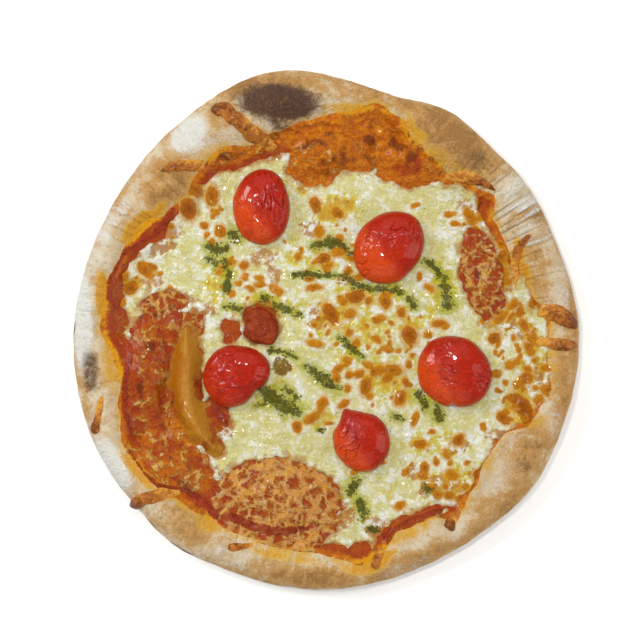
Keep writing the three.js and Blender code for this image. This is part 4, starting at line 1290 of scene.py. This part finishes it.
class PizzaColors(bpy.types.PropertyGroup):
    """Colours of the pizza."""

    dough_pale: color_property("Pale dough", 218, 202, 172)
    dough_tan: color_property("Tan dough", 206, 178, 136)
    dough_brown: color_property("Browned dough", 192, 146, 84)
    dough_deep: color_property("Deeply browned dough", 146, 102, 52)
    flour: color_property("Flour", 222, 221, 213)
    scorch: color_property("Scorched dough", 76, 56, 48)
    oil_soaked: color_property("Oil-soaked dough", 218, 172, 60)
    oil_deep: color_property("Orange oil", 212, 148, 18)
    sauce_red: color_property("Sauce", 156, 54, 16)
    sauce_orange: color_property("Oily sauce", 164, 76, 14)
    sauce_wet: color_property("Wet sauce", 130, 36, 18)
    sauce_dark: color_property("Dark bits of sauce", 96, 34, 10)
    baked_orange: color_property("Baked sauce", 176, 88, 6)
    baked_yellow: color_property("Baked oil", 206, 126, 12)
    veil_cream: color_property("Thin cheese", 218, 178, 94)
    veil_pink: color_property("Thin stained cheese", 180, 94, 36)
    fold_yellow: color_property("Fold of dough", 170, 120, 32)
    fold_amber: color_property("Oily fold of dough", 154, 92, 8)
    cream: color_property("Cheese", 226, 216, 138)
    cream_pale: color_property("Pale cheese", 234, 229, 168)
    # The white of the cheese, also used as painted highlight on raised clots and bumps.
    cheese_hollow_shade: color_property("Painted shade in cheese hollows", 192, 180, 104)
    # Painted shade for the hollows and pits of the cheese.
    cheese_white_and_highlight: color_property("White of cheese and painted highlight", 252, 251, 240)
    oil_lemon: color_property("Lemon oil", 224, 202, 56)
    oil_gold: color_property("Golden oil", 218, 162, 16)
    stain_pink: color_property("Stained cheese", 190, 122, 84)
    stain_orange: color_property("Oily stained cheese", 192, 116, 40)
    halo: color_property("Golden edge of a blister", 222, 168, 28)
    blister: color_property("Blister", 184, 102, 10)
    blister_light: color_property("Small blister", 212, 136, 16)
    blister_dark: color_property("Middle of a blister", 150, 76, 10)
    pesto: color_property("Pesto", 104, 98, 20)
    pesto_dark: color_property("Dark pesto", 64, 66, 12)
    olive: color_property("Olive paste", 132, 92, 8)
    pesto_oil: color_property("Green oil", 190, 188, 62)
    tomato_red: color_property("Tomato", 168, 30, 8)
    # The tomato's own orange, also used to paint the lighter lower-left side of each half.
    tomato_orange_and_lit_side: color_property("Orange and painted lit side of a tomato", 200, 66, 14)
    # Painted shade for the wrinkles of the tomato skin.
    tomato_crease_shade: color_property("Painted shade in tomato creases", 140, 16, 6)
    lump_light: color_property("Cooked tomato", 142, 54, 16)
    lump_dark: color_property("Dark cooked tomato", 118, 34, 6)
    shred_gold: color_property("Golden shred", 206, 146, 54)
    shred_light: color_property("Browned shred", 170, 102, 38)
    shred_dark: color_property("Dark browned shred", 112, 60, 22)
    pepper: color_property("Pepper", 50, 38, 26)
    floor: color_property("Floor", 252, 252, 251)


class PizzaLights(bpy.types.PropertyGroup):
    """Light on the pizza."""

    window_power: power_property("Window", "Power of the large light at the left", 8.4)
    room_power: power_property("Room", "Power that the soft lights take shares of", 3.6)
    lamp_power: power_property("Lamp", "Power that the small, glinting lights take shares of", 2.6)
    sky: bpy.props.FloatProperty(
        name="Sky", description="Strength of the even light from all round",
        subtype="FACTOR", default=0.24, min=0,
    )


# ---- Pieces ----


def make_crust(sizes, colors):
    """The baked dough: rim, blisters, folds and the flat, browned underside."""
    inner_rings, rim_rings, curl_rings, base_rings = 22, 58, 14, 26
    degrees = directions(sizes.rim_spokes)
    edge, topping = outline(degrees), topping_pairs(degrees)
    hidden = np.linspace(0.04, 0.8, inner_rings)[:, None] * topping
    slope = topping * (0.8 + 0.2 * np.linspace(0.06, 1, inner_rings)[:, None])
    shares = np.sin(np.linspace(0, np.pi / 2, rim_rings)[1:]) ** 1.1
    rim = topping + shares[:, None] * (edge - topping)
    top = np.concatenate([hidden, slope, rim])
    foot = np.cos(np.linspace(0, np.pi / 2, curl_rings)[1:])
    curl = edge - FOOT_INSET * (1 - foot[:, None])
    flat = (edge - FOOT_INSET) * np.linspace(0.97, 0.04, base_rings)[:, None]
    under = np.concatenate([curl, flat])
    covered = np.minimum(1.3, 0.4 * np.maximum(topping - 2 - top, 0))
    points, faces = round_body(
        top, under, lambda x, y: dough_top(x, y) - covered, dough_underside, degrees
    )
    x, y = points[:, 0], points[:, 1]
    radius, around_rim = polar(x, y)
    below = np.zeros(len(x))
    below[1 + top.size:] = 1
    warm = 0.02 * np.clip(x / 127, -1, 1)
    # outer: the outer slope of the rim is made browner, partly baking and partly painted shade where the
    # slope turns away from the light.
    outer = smoothstep(0.9, 1.0, radius / outline(around_rim))
    brown = 0.24 + warm + patches(x, y, BROWNED) + 0.25 * outer + 0.14 * noise(x, y, 20, 71, 2)
    brown = np.where(below > 0, 0.5 + 0.45 * noise(x, y, 22, 72, 3), brown)
    scorch = patches(x, y, SCORCHED, 0.6)
    leopard = smoothstep(0.3, 0.75, noise(x, y, 15, 73, 2)) * 0.9
    scorch = np.where(below > 0, leopard, scorch)
    flour = np.where(below > 0, 0.25 + 0.5 * noise(x, y, 30, 74, 2), patches(x, y, FLOURED))
    inner_edge = 0.6 * (1 - smoothstep(0, 2.6, np.abs(radius - topping_edge(around_rim))))
    away = radius - topping_edge(around_rim) + 3.5 * noise(x, y, 9, 75, 2)
    soaking = 1.15 * patches(x, y, OILY, 0.5) * (1 - smoothstep(3, 8, away))
    oil = np.where(below > 0, 0, np.maximum(soaking, inner_edge))
    streak = wrinkled(x, y) * radial_noise(radius, around_rim, 3 * LATTICE, 18, 23) * (1 - below)
    crust = add_object("baked_crust", points, faces, dough_material(colors), {
        "brown": brown, "scorch": scorch, "flour": flour, "oil": oil, "streak": streak,
    })
    return finish_piece(crust, ["crust"])


def make_sauce(sizes, colors):
    """The film of sauce over the dough, with its lumps."""
    top_rings, under_rings, sunk = 150, 24, 1.0
    degrees = directions(sizes.sauce_spokes)
    edge = topping_edge(degrees) + 0.6
    top = np.sqrt(np.linspace(0.0006, 1, top_rings))[:, None] * edge
    under = np.linspace(0.98, 0.03, under_rings)[:, None] * edge
    points, faces = round_body(top, under, sauce_top, lambda x, y: dough_top(x, y) - sunk, degrees)
    x, y = points[:, 0], points[:, 1]
    bake, veil = baked(x, y)
    radius, at = polar(x, y)
    border = 1 - smoothstep(0, 8, topping_edge(at) - radius)
    bake = np.maximum(bake, 0.85 * border)
    fringe = patches(x, y, OILY, 0.4) * smoothstep(-6.5, -1.5, radius - topping_edge(at))
    amber = (1 - smoothstep(-6, 4, stroke(x + 9, y + 2, *FOLD))) * smoothstep(-60, -35, y)
    sauce = add_object("tomato_sauce_layer", points, faces, sauce_material(colors), {
        "bake": bake, "lace": lace(x, y, veil), "veil": veil, "wet": wetness(x, y),
        "fold": fold_nearness(x, y), "amber": amber,
        "spots": 0.75 * noise(x, y, 5, 36, 3) + 0.55 * patches(x, y, DARK_SPOTS, 0.6),
        "red": patches(x, y, RED_PLACES, 0.6), "fringe": fringe,
    })
    return finish_piece(sauce, ["tomato_sauce"])


def make_cheese(sizes, colors):
    """The melted sheet of mozzarella with its blisters."""
    points, faces = sheet_body(
        cheese_reach, cheese_top, lambda x, y: sauce_top(x, y) - CHEESE_SINK, TOPPING_REACH,
        sizes.cheese_spacing / MM,
    )
    x, y = points[:, 0], points[:, 1]
    reach = cheese_reach(x, y)
    brown, dark = blistering(x, y)
    cheese = add_object("melted_mozzarella", points, faces, cheese_material(colors), {
        "brown": brown, "dark": dark, "thin": thinness(x, y), "oil": oiliness(x, y),
        "pesto": pesto_nearness(x, y), "rim": 1 - smoothstep(0, 7, reach), "grain": cheese_grain(x, y),
        "web": webs(x, y, 6.5, 35), "knobs": knobbliness(x, y),
        "olive": 1 - smoothstep(0.5, 1.3, oval(x, y, OLIVE_BLOB) + 0.5 * noise(x, y, 4, 63, 2)),
    })
    return finish_piece(cheese, ["mozzarella"])


def make_tomato(node, long, wide, turn, taper, depth, spacing, run, shift, corners, material):
    """Half a cherry tomato, skin side up, wrinkled from the oven."""
    low, high = (Vector(corner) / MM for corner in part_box(node))
    middle = (low + high) / 2 + Vector((*shift, 0))
    spokes, rings = 216, 96
    slope, angle = dome_grid(rings, spokes)
    seed = 80 + int(node[-1])
    uneven = 1 + 0.025 * noise(8 * np.cos(angle), 8 * np.sin(angle), 5, seed) - taper * np.cos(angle)
    flat = uneven / np.hypot(np.cos(angle) / long, np.sin(angle) / wide)
    for at, out, width in corners:
        flat = flat + out * np.exp(-((((np.degrees(angle) + turn - at + 180) % 360 - 180) / width) ** 2))
    share = np.sin(slope) ** 0.85
    along, across = share * flat * np.cos(angle), share * flat * np.sin(angle)
    height = (high.z - low.z) * np.cos(slope) ** 0.8 * np.ones_like(angle)
    ridge = np.abs(noise(along / run, across, spacing, seed, 2))
    fine = np.abs(noise(along / run + 40, across, spacing * 0.55, seed + 7))
    crease = np.exp(-((ridge / 0.07) ** 2)) + 0.5 * np.exp(-((fine / 0.08) ** 2))
    crease -= 0.5 * np.exp(-(((ridge - 0.19) / 0.08) ** 2))
    patchy = smoothstep(-0.4, 0.3, noise(along, across, 16, seed + 3))
    top_only = smoothstep(0, 0.35, np.cos(slope)) * patchy
    sunk = depth * crease * top_only
    dimple = 0.3 * noise(along, across, 9, seed + 5)
    height = height - sunk + dimple * np.cos(slope)
    base = low.z - 0.6
    c, s = math.cos(math.radians(turn)), math.sin(math.radians(turn))
    x = middle.x + along * c - across * s
    y = middle.y + along * s + across * c
    rows = np.stack([x, y, low.z + height], -1)
    rows[-1, :, 2] = base + 0.5
    skirt = rows[-1] * [1, 1, 0] + [0, 0, base - 0.4]
    skirt[:, :2] = [middle.x, middle.y] + 0.96 * (skirt[:, :2] - [middle.x, middle.y])
    rows = np.concatenate([rows, skirt[None]]).reshape(-1, 3)
    first, last = [middle.x, middle.y, rows[0, 2]], [middle.x, middle.y, base - 0.4]
    points = np.concatenate([[first], rows, [last]])
    # Partly painted light: each half is made lighter and more orange towards its lower-left side, the same
    # way on every half; the rest is the tomato's own orange.
    side = (points[:, 0] - middle.x) * -0.62 + (points[:, 1] - middle.y) * -0.5
    orange = (0.25 + 0.9 * smoothstep(-0.1, 1.0, side / wide)) * smoothstep(0.2, 0.5, depth)
    # creased: where the skin is sunk into wrinkles; the skin material paints shade there.
    creased = np.concatenate([[0], (crease * top_only).ravel(), np.zeros(spokes + 1)])
    piece = add_object("cherry_" + node, points, ring_faces(rings + 1, spokes), material, {
        "orange": orange, "crease": np.clip(creased, 0, 1),
    })
    return finish_piece(piece, [node])


def make_lump(colors):
    """The lump of cooked tomato."""
    low, high = (Vector(corner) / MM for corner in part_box("tomato_lump"))
    middle = (low + high) / 2
    spokes, rings = 96, 40
    slope, angle = dome_grid(rings, spokes)
    uneven = 1 + 0.08 * noise(9 * np.cos(angle), 9 * np.sin(angle), 4, 91, 2)
    reach = uneven * around(LUMP_OUTLINE)(np.degrees(angle))
    share = np.sin(slope) ** 0.8
    x, y = middle.x + share * reach * np.cos(angle), middle.y + share * reach * np.sin(angle)
    relief = 0.8 * noise(x, y, 5.5, 92, 2) + 0.25 * noise(x, y, 2.2, 93)
    height = low.z + (high.z - low.z + 0.4) * np.cos(slope) ** 0.55 + relief * np.cos(slope) ** 0.5
    rows = np.stack([x, y, height], -1)
    rows[-1, :, 2] = low.z - 0.8
    rows = rows.reshape(-1, 3)
    points = np.concatenate([[[middle.x, middle.y, rows[0, 2]]], rows, [[middle.x, middle.y, low.z - 1.2]]])
    material = plain_food("cooked_tomato", colors.lump_light, colors.lump_dark, 3.5, 0.55, 0.5, 0.05)
    lump = add_object("cooked_tomato_lump", points, ring_faces(rings, spokes), material)
    return finish_piece(lump, ["tomato_lump"])


def make_shreds(colors):
    """The browned shreds of cheese over the rim."""
    material = shred_material(colors)
    carrier = strand_carrier(SHREDS, 0.6, 8)
    piece = tube_tree().apply(carrier, "browned_shreds", {"Sides": 24, "Material": material})
    drape(piece, 0.5)
    bpy.data.objects.remove(carrier)
    piece.data.shade_smooth()
    nodes = sorted(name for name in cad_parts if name.startswith("browned_shred_"))
    return finish_piece(piece, nodes)


def leafiness(x, y):
    """How thickly bits of leaf lie at a place; none where it is 0 or less."""
    return pesto_nearness(x, y) + 0.6 * noise(x, y, 3, 95) - 0.4


def make_flecks(sizes, colors):
    """Bits of leaf in the pesto, and specks of pepper."""
    leaf = plain_food("pesto_leaf", colors.pesto, colors.pesto_dark, 1.5, 0.5, 0.1, 0.2)
    strew("pesto_leaves", leafiness, leaf, {
        "Density": 3e6, "Least size": sizes.leaf_least, "Most size": sizes.leaf_most, "Seed": 3,
    })
    pepper = plain_food("pepper", colors.pepper, colors.pesto_dark, 1, 0.6, 0.1, 0)
    strew("pepper_specks", lambda x, y: (np.hypot(x, y) < PEPPER_REACH) * 1.0, pepper, {
        "Density": 3.2e3, "Least size": 0.25 * MM, "Most size": 0.7 * MM, "Flatness": 0.7, "Seed": 8,
    })


def area_light(name, place, size, power, color):
    """A rectangular light that looks at the pizza."""
    light = bpy.data.lights.new(name, "AREA")
    light.shape, light.size, light.size_y = "RECTANGLE", *size
    light.energy, light.color = power, color
    lamp = bpy.data.objects.new(name, light)
    lamp.location = place
    lamp.rotation_euler = (-Vector(place)).to_track_quat("-Z", "Y").to_euler()
    bpy.context.scene.collection.objects.link(lamp)


def make_stage(sizes, colors, lights):
    """The floor, the lights and the camera straight above."""
    half, level = sizes.floor_width / 2 / MM, CAD_BOX[0].z / MM - FLOOR_GAP
    corners = [(-half, -half, level), (half, -half, level), (half, half, level), (-half, half, level)]
    floor = add_object("floor", corners, [(0, 1, 2, 3)], Shade("floor").finish(colors.floor, 0.9))
    world = bpy.data.worlds.new("studio")
    bpy.context.scene.world = world
    world.use_nodes = True
    world.node_tree.nodes["Background"].inputs["Color"].default_value = (0.94, 0.97, 1, 1)
    world.node_tree.nodes["Background"].inputs["Strength"].default_value = lights.sky
    for name, place, size, setting, share, color in LIGHTS:
        area_light(name, place, size, share * getattr(lights, setting), color)
    camera = bpy.data.objects.new("camera", bpy.data.cameras.new("camera"))
    camera.data.lens, camera.data.sensor_width = CAMERA_LENS, 36
    camera.data.clip_start = 0.01
    camera.location = CAMERA_PLACE
    bpy.context.scene.collection.objects.link(camera)
    bpy.context.scene.camera = camera
    bpy.context.scene.view_settings.view_transform = "Standard"


class PIZZA_OT_stage(bpy.types.Operator):
    """Set the floor, the lights and the camera"""

    bl_idname = "pizza.stage"
    bl_label = "Stage"
    bl_options = {"REGISTER", "UNDO"}

    def execute(self, context):
        scene = context.scene
        make_stage(scene.pizza_sizes, scene.pizza_colors, scene.pizza_lights)
        return {"FINISHED"}


class PIZZA_OT_crust(bpy.types.Operator):
    """Make the baked crust"""

    bl_idname = "pizza.crust"
    bl_label = "Crust"
    bl_options = {"REGISTER", "UNDO"}

    def execute(self, context):
        scene = context.scene
        make_crust(scene.pizza_sizes, scene.pizza_colors)
        return {"FINISHED"}


class PIZZA_OT_sauce(bpy.types.Operator):
    """Spread the tomato sauce"""

    bl_idname = "pizza.sauce"
    bl_label = "Tomato sauce"
    bl_options = {"REGISTER", "UNDO"}

    def execute(self, context):
        scene = context.scene
        make_sauce(scene.pizza_sizes, scene.pizza_colors)
        return {"FINISHED"}


class PIZZA_OT_cheese(bpy.types.Operator):
    """Melt the mozzarella"""

    bl_idname = "pizza.cheese"
    bl_label = "Mozzarella"
    bl_options = {"REGISTER", "UNDO"}

    def execute(self, context):
        scene = context.scene
        make_cheese(scene.pizza_sizes, scene.pizza_colors)
        return {"FINISHED"}


class PIZZA_OT_tomatoes(bpy.types.Operator):
    """Lay the halves of cherry tomato and the cooked lump"""

    bl_idname = "pizza.tomatoes"
    bl_label = "Tomatoes"
    bl_options = {"REGISTER", "UNDO"}

    def execute(self, context):
        scene = context.scene
        skin = tomato_material(scene.pizza_colors)
        for tomato in TOMATOES:
            make_tomato(*tomato, skin)
        make_lump(scene.pizza_colors)
        return {"FINISHED"}


class PIZZA_OT_strands(bpy.types.Operator):
    """Drape the browned shreds of cheese over the rim"""

    bl_idname = "pizza.strands"
    bl_label = "Browned shreds"
    bl_options = {"REGISTER", "UNDO"}

    def execute(self, context):
        scene = context.scene
        make_shreds(scene.pizza_colors)
        return {"FINISHED"}


class PIZZA_OT_flecks(bpy.types.Operator):
    """Strew the pesto leaves and the pepper"""

    bl_idname = "pizza.flecks"
    bl_label = "Pesto and pepper"
    bl_options = {"REGISTER", "UNDO"}

    def execute(self, context):
        scene = context.scene
        make_flecks(scene.pizza_sizes, scene.pizza_colors)
        return {"FINISHED"}


STEPS = [
    PIZZA_OT_stage, PIZZA_OT_crust, PIZZA_OT_sauce, PIZZA_OT_cheese, PIZZA_OT_tomatoes, PIZZA_OT_strands,
    PIZZA_OT_flecks,
]


class PIZZA_PT_panel(bpy.types.Panel):
    """Lists the pizza's pieces and settings"""

    bl_idname = "PIZZA_PT_panel"
    bl_label = "Margherita pizza"
    bl_space_type = "VIEW_3D"
    bl_region_type = "UI"
    bl_category = "Pizza"

    def draw(self, context):
        for step in STEPS:
            self.layout.operator(step.bl_idname)
        for settings in (context.scene.pizza_sizes, context.scene.pizza_colors, context.scene.pizza_lights):
            for name in settings.__annotations__:
                self.layout.prop(settings, name)


SETTINGS = {"pizza_sizes": PizzaSizes, "pizza_colors": PizzaColors, "pizza_lights": PizzaLights}


def register():
    """Registers the classes and gives the scene its settings."""
    for kind in (*SETTINGS.values(), *STEPS, PIZZA_PT_panel):
        bpy.utils.register_class(kind)
    for name, kind in SETTINGS.items():
        setattr(bpy.types.Scene, name, bpy.props.PointerProperty(type=kind))


def unregister():
    """Takes the settings and the classes away again."""
    for name in SETTINGS:
        delattr(bpy.types.Scene, name)
    for kind in (PIZZA_PT_panel, *reversed(STEPS), *SETTINGS.values()):
        bpy.utils.unregister_class(kind)


def main():
    """Makes the whole pizza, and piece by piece."""
    register()
    for step in STEPS:
        group, name = step.bl_idname.split(".")
        getattr(getattr(bpy.ops, group), name)()


if __name__ == "__main__":
    main()
